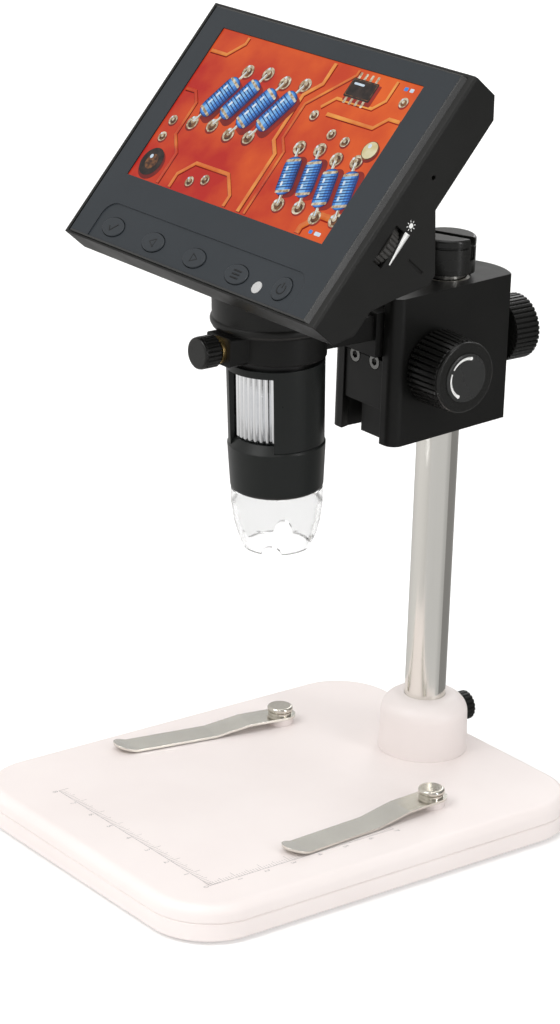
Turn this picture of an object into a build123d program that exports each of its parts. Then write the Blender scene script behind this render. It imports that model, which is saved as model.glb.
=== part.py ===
from build123d import *
import math
import os

# LCD digital microscope on a rack-and-pinion stand. Lengths are millimetres. X runs to the user's
# right, Y away from the user, Z up. Everything is modelled about the pole's axis with the floor at
# Z = 0, and the head in a frame of its own on the screen's face. The last block moves the whole
# instrument so that the origin is the centre of its bounding box at floor level.

# ------------------------------------------------------------------ driving dimensions
# fits
RUN = 0.05            # radial clearance of a shaft or stud that turns
GAP = 0.12            # clearance of a flat slide, each side

# base: two white shells on rubber feet, round a steel ballast plate
BASE_W = 122.5
BASE_D = 156.5
BASE_X = -1.8         # the base's centre line, from the pole axis
BASE_BACK = 20.6      # the base's rear edge, behind the pole axis
BASE_CORNER_R = 20.0
BASE_EDGE_R = 3.0
BASE_WALL = 2.2
FOOT_SHOW = 1.0       # rubber that shows under the tray
TRAY_H = 5.8
COVER_H = 5.6
FLOOR_T = 2.0
SEAM_BEVEL = 0.35
FOOT_R = 6.0
FOOT_SUNK = 1.0
FOOT_INSET_X = 16.0
FOOT_INSET_Y = 30.0
SCREW_INSET = 12.0
SCREW_R = 1.2
SCREW_HEAD_R = 2.7
SCREW_HEAD_H = 1.0
POST_R = 3.2
BALLAST_W = BASE_W - 38.5
BALLAST_D = BASE_D - 64.5
BALLAST_T = 5.0
BALLAST_Y = BASE_BACK - BASE_D / 2 - 12.35

# pole, its collar, its cap
POLE_R = 6.65
POLE_WALL = 1.2
POLE_TOP = 180.8
COLLAR_R = 14.5
COLLAR_TAPER = 0.6    # how much narrower the collar is at its shoulder
COLLAR_H = 18.6
COLLAR_DOME_R = 6.0
COLLAR_KNOB_Z = 22.5
COLLAR_KNOB_R = 4.8
COLLAR_KNOB_T = 3.2
CAP_R = 9.0
CAP_SKIRT = 7.7       # how far the cap reaches down the pole
CAP_ROOF = 3.5
CAP_SLOT_W = 3.0
CAP_SLOT_D = 2.2
CAP_SLOT_TURN = 22.0
CAP_NOTCH_D = 0.8
CAP_NOTCH_H = 7.0

# stage clips: spring strips under domed studs
CLIP_X = BASE_W / 2 - 22.35   # each stud from the base's centre line
CLIP_Y = BASE_BACK - 48.1
CLIP_BOSS_R = 4.4
CLIP_BOSS_H = 2.2
CLIP_STUD_R = 1.7
CLIP_HEAD_R = 4.2
CLIP_W = 9.2
CLIP_T = 0.8
CLIP_TAIL = 5.2       # strip behind the stud
CLIP_FLAT = 13.0      # strip before the bend
CLIP_BEND = 12.7      # length of the slope down to the stage
CLIP_REACH = 60.0
CLIP_TIP = 6.0
CLIP_TIP_RISE = 1.6
CLIP_BEND_R = 1.5     # inside radius of each bend
CLIP_HOVER = 0.35     # strip above the stage
CLIP_TURN_LEFT = -10.0
CLIP_TURN_RIGHT = 3.0

# rack and pinion
MODULE = 0.75
TEETH = 14
PRESSURE = 25.0
ADDENDUM = 0.65
DEDENDUM = 0.85
BACKLASH = 0.12
PITCH_R = MODULE * TEETH / 2
PINION_Y = -POLE_R - 8.45
RACK_LINE = PINION_Y - PITCH_R
RACK_X0 = -9.7
RACK_W = 5.0
RACK_TEETH = 12
RACK_BELOW = 5        # teeth below the pinion at rest
RACK_GAP = 0.4
GEAR_W = 4.9
GEAR_BORE_GAP = 0.4
SHAFT_R = 3.0

# bracket block on the pole: narrower at the back, with a dovetail channel down its front
WAY_W = 18.3          # mouth of the channel
WAY_D = 3.8
WAY_FLARE = 1.0       # how much wider the channel is at its back, each side
BLOCK_FRONT_W = WAY_W + 12.8  # across the front, over its rounded corners
BLOCK_BACK_W = 2 * POLE_R + 6.1
BLOCK_FRONT = RACK_LINE - 7.55 - WAY_D
BLOCK_BACK = POLE_R + 11.95
BLOCK_BULGE = 2.8     # the back face is an arc
BLOCK_Z = POLE_TOP - 56.5
BLOCK_H = 46.9
BLOCK_EDGE_R = 3.6
SLEEVE_T = 1.0
SLEEVE_INSET = 0.4
LOCK_Z = BLOCK_Z + 26.0
LOCK_R = 10.4
LOCK_T = 9.2
LOCK_GAP = 0.7
LOCK_STUD_R = 2.5

# focus knob
PINION_Z = BLOCK_Z + 23.65
KNOB_R = 11.9
KNOB_FACE_R = 11.1    # it narrows a little towards its face
KNOB_X0 = 15.4
KNOB_L = 13.6
KNOB_RIM = 1.2
KNOB_DISC_R = 7.7
KNOB_DISC_SUNK = 0.8  # how deep the disc sits in the knob's face
KNOB_DISC_PROUD = 0.5
KNOB_RIBS = 40
RIB_DEPTH = 0.6

# carriage and clamp ring
PLATE_Z = BLOCK_Z + 10.6
PLATE_H = 31.3
PLATE_SINK = 0.6      # the plate's face behind the block's
PLATE_STEP_Z = PLATE_Z + 15.5
PLATE_STEP = 1.0
CAP_SCREW_X = 4.7
CAP_SCREW_Z = PLATE_Z + 14.4
CAP_SCREW_R = 2.3
CAP_SCREW_SUNK = 1.6
HEX_R = 1.25
ARM_W = 14.0
ARM_FOOT_W = 17.2
ARM_FOOT_T = 4.0
ARM_FOOT_Z = PLATE_Z + 17.1
ARM_FOOT_H = 14.0
RING_Z = PLATE_Z + 21.6
RING_H = 8.8
BARREL_R = 13.5       # the tube that turns in the ring
RING_R = BARREL_R + 2.1
BARREL_Y = BLOCK_FRONT - RING_R - 18.7
LEAN = 2.8            # the ring is bored so that the barrel leans towards the user
BOSS_W = 11.8
BOSS_FRONT = RING_R + 5.6     # from the ring's centre
INSERT_R = 4.2
INSERT_T = 1.3
INSERT_BODY_R = 3.1
INSERT_BODY_L = 3.6
RING_KNOB_R = 4.9
RING_KNOB_T = 5.8
RING_KNOB_GAP = 0.9
THUMB_STUD_R = 2.0

# head, in the screen's own frame: u to the right, v up the screen, h out of it
LCD_W = 95.04
LCD_H = 53.86
LCD_U = 0.4
FACE_Y = BARREL_Y - 4.6
FACE_Z = RING_Z + 68.25
FACE_TILT = 40.3      # lean of the screen from upright
HEAD_LEFT = LCD_U - LCD_W / 2 - 11.68
HEAD_RIGHT = LCD_U + LCD_W / 2 + 15.88
HEAD_TOP = LCD_H / 2 + 7.47
HEAD_BOTTOM = -LCD_H / 2 - 23.37
HEAD_WALL = 2.2
RIM_SINK = 0.9        # the housing's rim behind the bezel's face
RIM_D = 10.2          # depth of the head's edge
BACK_D = 14.9
BOX_D = 28.0
BOX_TOP = -1.7
BOX_CORNER = -15.6
BOX_CHIN = -19.0
BOX_KNEE = -28.7
BOX_KNEE_D = 20.1
BOX_FOOT = -36.1
BACK_LOW = HEAD_BOTTOM + 6.2
BACK_HIGH = HEAD_TOP - 5.4
SIDE_BAND = 3.8       # housing wall at the right, behind the bezel's edge
BEZEL_LEFT = 1.0
BEZEL_RIGHT = 2.8
BEZEL_TOP = 1.0
BEZEL_BOTTOM = 0.7
BEZEL_T = 3.5
BEZEL_BEVEL = 1.9
PANEL_T = 0.6
PANEL_MARGIN = 0.5
PAD_LEFT = HEAD_LEFT + 11.8
PAD_RIGHT = HEAD_RIGHT - 12.4
PAD_TOP = HEAD_BOTTOM + 13.7
PAD_CORNER_R = 5.0
PAD_SINK = 0.3
KEY_W = 10.0          # four oval keys
KEY_H = 6.3
POWER_KEY_R = 3.7     # the fifth key is round and a little higher
POWER_KEY_UP = 0.8
KEY_GAP = 0.15
KEY_PITCH = 20.5
KEY_U = 2.75
KEY_V = HEAD_BOTTOM + 6.3
KEY_PROUD = 0.1
KEY_FLANGE = 0.9      # how far a key's flange reaches under the bezel
KEY_FLANGE_T = 0.6
KEY_TRAVEL = 0.6
LIGHT_U = 34.0
LIGHT_V = HEAD_BOTTOM + 4.9
LIGHT_R = 1.9
MODULE_T = 3.2
CASE_POST_R = 2.6
CASE_POST_V = HEAD_TOP - 12.4
CASE_POST_PITCH = 18.0
KEY_BOARD_END = 7.0   # the button board beyond the outer buttons
KEY_BOARD_T = 1.2
SWITCH_W = 5.2
SWITCH_H = 1.6
SWITCH_TOP_R = 1.6
PINHOLE_R = 0.7
PINHOLE_V = 4.7
PINHOLE_D = 7.8
MARK_V = -18.1        # engraved mark on the right cheek
MARK_W = 0.8
MARK_L = 7.1
MARK_D = 16.5
MARK_SUNK = 0.4
USB_V = -4.0
USB_W = 7.5
USB_T = 2.7
CARD_V = -22.0
CARD_W = 14.0
CARD_SLOT_W = 11.4
CARD_SLOT_T = 1.2
CARD_L = 15.0
SOCKET_D = 8.6
LCD_FRAME_SIDE = 3.5
LCD_FRAME_LOW = 4.0
LCD_FRAME_HIGH = 3.0
LCD_GLASS_T = 1.1
BATTERY_W = 50.0
BATTERY_H = 17.5
BATTERY_T = 6.0
BATTERY_V = -27.0
BOARD_T = 1.6
BOARD_H = -12.0
DIMMER_R = 7.5
DIMMER_T = 3.0
DIMMER_V = -18.7
DIMMER_D = 7.8
DIMMER_PROUD = 0.8
DIMMER_SLOT = 12.2

# neck, barrel and nose, before the lean
NECK_R = BARREL_R + 5.5
NECK_WALL = 3.0
NECK_Z = RING_Z + 9.85
NECK_TOP = NECK_Z + 26.65
NECK_ROOF_T = 6.0
WIRE_HOLE_R = 4.5
WIRE_HOLE_Y = 4.0     # in front of the barrel axis, into the housing
BEAD_R = NECK_R + 0.6
BEAD_H = 3.2
TUBE_R = BARREL_R - 2.0       # tube inside the focus wheel
TUBE_BORE = TUBE_R - 1.3
TUBE_FLANGE_T = 1.5
TUBE_STEP_Z = RING_Z - 3.5
TUBE_LOW_Z = RING_Z - 35.5
TUBE_WALL = 1.8
SLEEVE_TOP_R = BARREL_R + 1.5
SLEEVE_LOW_R = SLEEVE_TOP_R - 0.4
SLEEVE_BORE = BARREL_R - 0.25
SLEEVE_TOP = RING_Z - 1.4
WINDOW_MID = 16.0     # from the front towards the right
WINDOW_HALF = 34.0
WHEEL_R = SLEEVE_BORE - 0.15
WHEEL_RIBS = 60
WHEEL_Z = RING_Z - 24.8
WHEEL_H = 21.0
LIP_Z = RING_Z - 25.1
LIP_LOW_Z = RING_Z - 27.9
NOSE_R = SLEEVE_LOW_R + 0.35
NOSE_TIP_R = NOSE_R - 0.8
NOSE_Z = RING_Z - 42.4
NOSE_WALL = 2.4
TIP_LOW_Z = NOSE_Z - 18.9
TIP_WALL = 1.3
TIP_PLUG_H = 3.0      # how far the clear tip reaches into the nose
TIP_NOTCH_R = 3.0
LENS_R = 5.1
LENS_WALL = 1.0
CELL_TOP = RING_Z - 14.5
CELL_HEAD_H = 6.0
BOARD_RING_T = 1.2
LED_SIZE = 2.4
LED_T = 0.9
LED_CIRCLE_R = NOSE_R - 6.65


# ------------------------------------------------------------------ shapes used more than once
def slab(w, d, r, z0, z1, x=0.0, y=0.0):
    """Upright block with a rounded-rectangle plan."""
    return Pos(x, y, z0) * extrude(RectangleRounded(w, d, r), z1 - z0)


def block(x0, x1, y0, y1, z0, z1):
    """Box between six planes."""
    return Pos((x0 + x1) / 2, (y0 + y1) / 2, (z0 + z1) / 2) * Box(x1 - x0, y1 - y0, z1 - z0)


def rod(r, a, b, bore=0.0):
    """Round bar, or tube if a bore is given, from point a to point b."""
    a, b = Vector(*a), Vector(*b)
    ring = Circle(r) - Circle(bore) if bore else Circle(r)
    return extrude(Plane(origin=a, z_dir=b - a) * ring, (b - a).length)


def prism(outline, length, plane=Plane.XY):
    """Straight extrusion of an outline of points along a plane's normal."""
    return extrude(plane * Polygon(*outline, align=None), length, dir=plane.z_dir)


def turned(profile, x=0.0, y=0.0):
    """Solid of revolution about an upright axis, from (radius, height) points."""
    return Pos(x, y, 0) * revolve(Plane.XZ * Polygon(*profile, align=None), Axis.Z)


def ribbed(r, depth, ribs, a, b):
    """Grip with flat-topped ribs and V grooves, from point a to point b."""
    a, b = Vector(*a), Vector(*b)
    step = 2 * math.pi / ribs
    outline = []
    for i in range(ribs):
        for radius, turn in ((r, -0.28), (r, 0.28), (r - depth, 0.5)):
            angle = (i + turn) * step
            outline.append((radius * math.cos(angle), radius * math.sin(angle)))
    return prism(outline, (b - a).length, Plane(origin=a, z_dir=b - a))


parts = {}

# ------------------------------------------------------------------ base
BASE_Y = BASE_BACK - BASE_D / 2
TRAY_Z = FOOT_SHOW
FLOOR_Z = TRAY_Z + FLOOR_T
SEAM_Z = TRAY_Z + TRAY_H
STAGE_Z = SEAM_Z + COVER_H
ROOF_Z = STAGE_Z - BASE_WALL
INNER_W, INNER_D = BASE_W - 2 * BASE_WALL, BASE_D - 2 * BASE_WALL
INNER_R = BASE_CORNER_R - BASE_WALL
base_mid = Pos(BASE_X, BASE_Y, 0)
screw_spots = base_mid * GridLocations(BASE_W - 2 * SCREW_INSET, BASE_D / 2 - SCREW_INSET, 2, 3)
foot_spots = base_mid * GridLocations(BASE_W - 2 * FOOT_INSET_X, BASE_D - 2 * FOOT_INSET_Y, 2, 2)
clip_spots = [(BASE_X - CLIP_X, CLIP_Y), (BASE_X + CLIP_X, CLIP_Y)]

cover = slab(BASE_W, BASE_D, BASE_CORNER_R, SEAM_Z, STAGE_Z, BASE_X, BASE_Y)
cover = fillet(cover.faces().sort_by(Axis.Z)[-1].edges(), BASE_EDGE_R)
cover = chamfer(cover.faces().sort_by(Axis.Z)[0].edges(), SEAM_BEVEL)
cover -= slab(INNER_W, INNER_D, INNER_R, SEAM_Z - 1, ROOF_Z, BASE_X, BASE_Y)
for spot in screw_spots:
    post = rod(POST_R, (0, 0, FLOOR_Z), (0, 0, ROOF_Z + 0.5), SCREW_R)
    cover += spot * post
for x, y in clip_spots:
    cover += rod(CLIP_BOSS_R, (x, y, ROOF_Z), (x, y, STAGE_Z + CLIP_BOSS_H))
    cover -= rod(CLIP_STUD_R, (x, y, ROOF_Z - 1), (x, y, STAGE_Z + CLIP_BOSS_H + 1))
cover -= rod(POLE_R + RUN, (0, 0, ROOF_Z - 1), (0, 0, STAGE_Z + 1))
parts["base_cover"] = cover

tray = slab(BASE_W, BASE_D, BASE_CORNER_R, TRAY_Z, SEAM_Z, BASE_X, BASE_Y)
tray = chamfer(tray.faces().sort_by(Axis.Z)[-1].edges(), SEAM_BEVEL)
tray = fillet(tray.faces().sort_by(Axis.Z)[0].edges(), 2 * SEAM_BEVEL)
tray -= slab(INNER_W, INNER_D, INNER_R, FLOOR_Z, SEAM_Z + 1, BASE_X, BASE_Y)
lip = slab(INNER_W, INNER_D, INNER_R, FLOOR_Z, SEAM_Z + 1.4, BASE_X, BASE_Y)
lip -= slab(INNER_W - 2, INNER_D - 2, INNER_R - 1, FLOOR_Z - 1, SEAM_Z + 2, BASE_X, BASE_Y)
tray += lip
tray += rod(POLE_R + 3.2, (0, 0, FLOOR_Z - 0.5), (0, 0, ROOF_Z), POLE_R)
screw_seat_z = TRAY_Z + SCREW_HEAD_H + 0.15
for spot in screw_spots:
    tray -= spot * rod(SCREW_R, (0, 0, TRAY_Z - 1), (0, 0, FLOOR_Z + 1))
    tray -= spot * rod(SCREW_HEAD_R + 0.2, (0, 0, TRAY_Z - 1), (0, 0, screw_seat_z))
for spot in foot_spots:
    tray -= spot * rod(FOOT_R, (0, 0, TRAY_Z - 1), (0, 0, TRAY_Z + FOOT_SUNK))
parts["base_tray"] = tray

foot = rod(FOOT_R, (0, 0, 0), (0, 0, FOOT_SHOW + FOOT_SUNK))
foot = fillet(foot.faces().sort_by(Axis.Z)[0].edges(), 0.5)
parts["base_feet"] = Compound(children=[spot * foot for spot in foot_spots])

base_screw = rod(SCREW_HEAD_R, (0, 0, screw_seat_z - SCREW_HEAD_H), (0, 0, screw_seat_z))
base_screw += rod(SCREW_R, (0, 0, screw_seat_z), (0, 0, ROOF_Z - 0.5))
parts["base_screws"] = Compound(children=[spot * base_screw for spot in screw_spots])

parts["base_ballast"] = slab(BALLAST_W, BALLAST_D, 4, FLOOR_Z, FLOOR_Z + BALLAST_T, BASE_X, BALLAST_Y)

# ------------------------------------------------------------------ pole, collar, cap
COLLAR_TOP = STAGE_Z + COLLAR_H
collar = turned([(POLE_R + RUN, STAGE_Z), (COLLAR_R, STAGE_Z), (COLLAR_R - COLLAR_TAPER, COLLAR_TOP),
                 (POLE_R + RUN, COLLAR_TOP)])
shoulder = collar.edges().filter_by(GeomType.CIRCLE).group_by(Axis.Z)[-1].sort_by(lambda e: e.radius)[-1]
collar = fillet(shoulder, COLLAR_DOME_R)
collar -= rod(THUMB_STUD_R + RUN, (0, 0, COLLAR_KNOB_Z), (0, COLLAR_R + 2, COLLAR_KNOB_Z))
collar_face_y = COLLAR_R + 0.4
parts["pole_collar"] = collar

parts["pole"] = rod(POLE_R, (0, 0, FLOOR_Z), (0, 0, POLE_TOP), POLE_R - POLE_WALL)

CAP_TOP = POLE_TOP + CAP_ROOF
CAP_Z = POLE_TOP - CAP_SKIRT
cap = rod(CAP_R, (0, 0, CAP_Z), (0, 0, CAP_TOP))
cap = fillet(cap.faces().sort_by(Axis.Z)[-1].edges(), 0.9)
cap -= rod(POLE_R, (0, 0, CAP_Z - 1), (0, 0, POLE_TOP))
cap -= rod(CAP_R + 1, (0, 0, CAP_TOP - 3.1), (0, 0, CAP_TOP - 2.5), CAP_R - 0.5)
slot = block(-CAP_R - 1, CAP_R + 1, -CAP_SLOT_W / 2, CAP_SLOT_W / 2, CAP_TOP - CAP_SLOT_D, CAP_TOP + 1)
notches = block(-CAP_R - 1, CAP_R + 1, -CAP_SLOT_W / 2, CAP_SLOT_W / 2, CAP_TOP - CAP_NOTCH_H, CAP_TOP + 1)
notches -= rod(CAP_R - CAP_NOTCH_D, (0, 0, CAP_Z), (0, 0, CAP_TOP + 2))
cap -= Rot(0, 0, CAP_SLOT_TURN) * (slot + notches)
parts["pole_cap"] = cap

parts["collar_knob"] = ribbed(COLLAR_KNOB_R, 0.45, 20, (0, collar_face_y, COLLAR_KNOB_Z),
                              (0, collar_face_y + COLLAR_KNOB_T, COLLAR_KNOB_Z))
collar_stud_end = (0, collar_face_y + COLLAR_KNOB_T / 2, COLLAR_KNOB_Z)
parts["collar_knob"] -= rod(THUMB_STUD_R, (0, 0, COLLAR_KNOB_Z), collar_stud_end)
parts["collar_knob_stud"] = rod(THUMB_STUD_R, (0, POLE_R + 2 * RUN, COLLAR_KNOB_Z), collar_stud_end)

# ------------------------------------------------------------------ stage clips and their studs
CLIP_Z = STAGE_Z + CLIP_BOSS_H + RUN
stud = rod(CLIP_STUD_R, (0, 0, ROOF_Z), (0, 0, CLIP_Z + CLIP_T + RUN))
stud += rod(CLIP_HEAD_R - 0.3, (0, 0, CLIP_Z + CLIP_T + RUN), (0, 0, CLIP_Z + CLIP_T + 1.0))
stud += rod(CLIP_HEAD_R - 1.0, (0, 0, CLIP_Z + CLIP_T + 1.0), (0, 0, CLIP_Z + CLIP_T + 1.5))
stud_head = rod(CLIP_HEAD_R, (0, 0, CLIP_Z + CLIP_T + 1.5), (0, 0, CLIP_Z + CLIP_T + 2.9))
stud += fillet(stud_head.faces().sort_by(Axis.Z)[-1].edges(), 0.8)
parts["clip_studs"] = Compound(children=[Pos(x, y, 0) * stud for x, y in clip_spots])

low = STAGE_Z + CLIP_HOVER
clip_line = [(CLIP_TAIL, CLIP_Z), (-CLIP_FLAT, CLIP_Z), (-CLIP_FLAT - CLIP_BEND, low),
             (CLIP_TIP - CLIP_REACH, low), (-CLIP_REACH, low + CLIP_TIP_RISE)]
clip_side = clip_line + [(y, z + CLIP_T) for y, z in reversed(clip_line)]
clip = prism(clip_side, CLIP_W, Plane(origin=(-CLIP_W / 2, 0, 0), x_dir=(0, 1, 0), z_dir=(1, 0, 0)))
for (y, z), inside_top in zip(clip_line[1:4], (False, True, True)):
    low_r = CLIP_BEND_R + (CLIP_T if inside_top else 0)
    top_r = CLIP_BEND_R + (0 if inside_top else CLIP_T)
    for height, radius in ((z, low_r), (z + CLIP_T, top_r)):
        bend = [e for e in clip.edges().filter_by(Axis.X)
                if abs(e.center().Y - y) < 0.01 and abs(e.center().Z - height) < 0.01]
        clip = fillet(bend, radius)
clip_plan = slab(CLIP_W, CLIP_REACH + CLIP_TAIL, CLIP_W / 2 - 0.1, STAGE_Z, STAGE_Z + 12,
                 0, (CLIP_TAIL - CLIP_REACH) / 2)
clip = clip & clip_plan
clip -= rod(CLIP_STUD_R + RUN, (0, 0, STAGE_Z), (0, 0, STAGE_Z + 12))
for name, (x, y), turn in (("clip_left", clip_spots[0], CLIP_TURN_LEFT),
                           ("clip_right", clip_spots[1], CLIP_TURN_RIGHT)):
    parts[name] = Pos(x, y, 0) * Rot(0, 0, turn) * clip

# ------------------------------------------------------------------ bracket block, sleeve, lock knob
BLOCK_TOP = BLOCK_Z + BLOCK_H
SLEEVE_OUT = POLE_R + RUN + SLEEVE_T


def side_x(y):
    """Half width of the block at depth y."""
    share = (y - BLOCK_FRONT) / (BLOCK_BACK - BLOCK_FRONT)
    return (BLOCK_FRONT_W + (BLOCK_BACK_W - BLOCK_FRONT_W) * share) / 2


front_x, back_x = side_x(BLOCK_FRONT), side_x(BLOCK_BACK)
plan = Polyline((-back_x, BLOCK_BACK), (-front_x, BLOCK_FRONT), (front_x, BLOCK_FRONT), (back_x, BLOCK_BACK))
plan += ThreePointArc((back_x, BLOCK_BACK), (0, BLOCK_BACK + BLOCK_BULGE), (-back_x, BLOCK_BACK))
bracket = Pos(0, 0, BLOCK_Z) * extrude(make_face(plan), BLOCK_H)
front_edges = bracket.edges().filter_by(Axis.Z).group_by(Axis.Y)[0]
bracket = fillet(front_edges, BLOCK_EDGE_R)
WAY_BACK = BLOCK_FRONT + WAY_D
way = [(-WAY_W / 2, BLOCK_FRONT - 1), (WAY_W / 2, BLOCK_FRONT - 1), (WAY_W / 2, BLOCK_FRONT),
       (WAY_W / 2 + WAY_FLARE, WAY_BACK), (-WAY_W / 2 - WAY_FLARE, WAY_BACK), (-WAY_W / 2, BLOCK_FRONT)]
bracket -= Pos(0, 0, BLOCK_Z - 1) * prism(way, BLOCK_H + 2)
RACK_TIP = RACK_LINE + ADDENDUM
RACK_X1 = RACK_X0 + RACK_W
bracket -= block(RACK_X0 - RACK_GAP, RACK_X1 + RACK_GAP, WAY_BACK - 1, RACK_TIP + 2 * RACK_GAP,
                 BLOCK_Z - 1, BLOCK_TOP + 1)
GEAR_TIP_R = PITCH_R + ADDENDUM
GEAR_BORE = GEAR_TIP_R + GEAR_BORE_GAP
SHAFT_SIDE = side_x(PINION_Y)
bracket -= rod(GEAR_BORE, (RACK_X0 - RACK_GAP, PINION_Y, PINION_Z), (front_x + 1, PINION_Y, PINION_Z))
bracket -= rod(SHAFT_R + RUN, (-front_x - 1, PINION_Y, PINION_Z), (0, PINION_Y, PINION_Z))
bracket -= rod(SLEEVE_OUT + RUN, (0, 0, BLOCK_Z - 1), (0, 0, BLOCK_TOP + 1))
bracket -= rod(LOCK_STUD_R + RUN, (0, 0, LOCK_Z), (0, BLOCK_BACK + BLOCK_BULGE + 1, LOCK_Z))
parts["bracket_block"] = bracket

GEAR_X1 = RACK_X0 + GEAR_W
BEARING_SUNK = 1.0
parts["pinion_bearing"] = rod(GEAR_BORE, (GEAR_X1 + RACK_GAP, PINION_Y, PINION_Z),
                              (SHAFT_SIDE - BEARING_SUNK, PINION_Y, PINION_Z), SHAFT_R + RUN)
parts["pole_sleeve"] = rod(SLEEVE_OUT, (0, 0, BLOCK_Z + SLEEVE_INSET), (0, 0, BLOCK_TOP - SLEEVE_INSET),
                           POLE_R + RUN)

LOCK_Y = BLOCK_BACK + BLOCK_BULGE + LOCK_GAP
lock = ribbed(LOCK_R, RIB_DEPTH, KNOB_RIBS, (0, LOCK_Y, LOCK_Z), (0, LOCK_Y + LOCK_T, LOCK_Z))
lock += rod(LOCK_R / 2, (0, LOCK_Y - LOCK_GAP / 2, LOCK_Z), (0, LOCK_Y + 1, LOCK_Z))
lock_stud_end = (0, LOCK_Y + LOCK_T / 2, LOCK_Z)
lock -= rod(LOCK_STUD_R, (0, 0, LOCK_Z), lock_stud_end)
parts["lock_knob"] = lock
parts["lock_stud"] = rod(LOCK_STUD_R, (0, SLEEVE_OUT + 2 * RUN, LOCK_Z), lock_stud_end)

# ------------------------------------------------------------------ pinion, rack, focus knob
base_r = PITCH_R * math.cos(math.radians(PRESSURE))


def involute(angle):
    return math.tan(angle) - angle


tooth_half = (math.pi * MODULE / 2 - BACKLASH) / 2 / PITCH_R
flank = []
for radius in (base_r, (base_r + PITCH_R) / 2, PITCH_R, PITCH_R + ADDENDUM / 2, GEAR_TIP_R):
    roll = math.acos(min(1.0, base_r / radius))
    flank.append((radius, tooth_half + involute(math.radians(PRESSURE)) - involute(roll)))
gear_outline = []
for i in range(TEETH):
    middle = 2 * math.pi * i / TEETH + math.pi
    tooth = [(PITCH_R - DEDENDUM, -flank[0][1])] + [(r, -a) for r, a in flank]
    tooth += [(r, a) for r, a in reversed(flank)] + [(PITCH_R - DEDENDUM, flank[0][1])]
    gear_outline += [(r * math.cos(middle + a), r * math.sin(middle + a)) for r, a in tooth]
gear_plane = Plane(origin=(RACK_X0, PINION_Y, PINION_Z), x_dir=(0, 1, 0), z_dir=(1, 0, 0))
pinion = prism(gear_outline, GEAR_W, gear_plane)
KNOB_X1 = KNOB_X0 + KNOB_L
shaft_end = (KNOB_X1 - 3, PINION_Y, PINION_Z)
pinion += rod(SHAFT_R, (0.5 - SHAFT_SIDE, PINION_Y, PINION_Z), shaft_end)
parts["pinion"] = pinion

rim_x = KNOB_X1 - KNOB_RIM
knob = ribbed(KNOB_R, 2 * RIB_DEPTH, KNOB_RIBS, (KNOB_X0, PINION_Y, PINION_Z), (rim_x, PINION_Y, PINION_Z))
envelope = Plane.XZ * Polygon((0, KNOB_X0), (KNOB_R, KNOB_X0), (KNOB_FACE_R + 0.3, rim_x), (0, rim_x),
                              align=None)
knob &= Plane(origin=(0, PINION_Y, PINION_Z), z_dir=(1, 0, 0)).location * revolve(envelope, Axis.Z)
knob += rod(KNOB_FACE_R, (rim_x, PINION_Y, PINION_Z), (KNOB_X1, PINION_Y, PINION_Z))
knob = fillet(knob.faces().sort_by(Axis.X)[-1].edges(), 0.8)
disc_x = KNOB_X1 - KNOB_DISC_SUNK
knob -= rod(KNOB_DISC_R, (disc_x, PINION_Y, PINION_Z), (KNOB_X1 + 1, PINION_Y, PINION_Z))
knob -= rod(SHAFT_R, (0, PINION_Y, PINION_Z), shaft_end)
parts["focus_knob"] = knob
disc = rod(KNOB_DISC_R, (disc_x, PINION_Y, PINION_Z), (KNOB_X1 + KNOB_DISC_PROUD, PINION_Y, PINION_Z))
parts["focus_knob_disc"] = fillet(disc.faces().sort_by(Axis.X)[-1].edges(), 0.8 * KNOB_DISC_PROUD)

pitch = math.pi * MODULE
slope = math.tan(math.radians(PRESSURE))
rack_back = WAY_BACK - GAP
rack_low = PINION_Z - RACK_BELOW * pitch
rack_side = [(rack_back, rack_low)]
space = pitch / 2 + BACKLASH / 2
for i in range(RACK_TEETH + 1):
    z = rack_low + i * pitch
    tip_half, root_half = space / 2 + ADDENDUM * slope, space / 2 - DEDENDUM * slope
    rack_side += [(RACK_TIP, z - tip_half), (RACK_LINE - DEDENDUM, z - root_half),
                  (RACK_LINE - DEDENDUM, z + root_half), (RACK_TIP, z + tip_half)]
rack_side = [rack_side[0]] + rack_side[3:-2] + [(rack_back, rack_low + RACK_TEETH * pitch)]
rack_side.insert(1, (RACK_LINE - DEDENDUM, rack_low))
rack_side.insert(-1, (RACK_LINE - DEDENDUM, rack_low + RACK_TEETH * pitch))
side_plane = Plane(origin=(RACK_X0, 0, 0), x_dir=(0, 1, 0), z_dir=(1, 0, 0))
parts["rack"] = prism(rack_side, RACK_W, side_plane)

# ------------------------------------------------------------------ carriage plate, arm and clamp ring
PLATE_FACE = BLOCK_FRONT + PLATE_SINK
PLATE_TOP = PLATE_Z + PLATE_H


def way_half(y):
    """Half width of the channel at depth y, less the slide's clearance."""
    return WAY_W / 2 + WAY_FLARE * (y - BLOCK_FRONT) / WAY_D - GAP


plate_plan = [(-way_half(PLATE_FACE), PLATE_FACE), (way_half(PLATE_FACE), PLATE_FACE),
              (way_half(rack_back), rack_back), (-way_half(rack_back), rack_back)]
plate = Pos(0, 0, PLATE_Z) * prism(plate_plan, PLATE_H)
plate -= block(-WAY_W, WAY_W, PLATE_FACE - 1, PLATE_FACE + PLATE_STEP, PLATE_STEP_Z, PLATE_TOP + 1)
screw_floor = PLATE_FACE + CAP_SCREW_SUNK
for x in (-CAP_SCREW_X, CAP_SCREW_X):
    plate -= rod(CAP_SCREW_R + 0.2, (x, PLATE_FACE - 1, CAP_SCREW_Z), (x, screw_floor, CAP_SCREW_Z))
    plate -= rod(SCREW_R, (x, screw_floor - 1, CAP_SCREW_Z), (x, rack_back + 1, CAP_SCREW_Z))
parts["carriage_plate"] = plate

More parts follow.
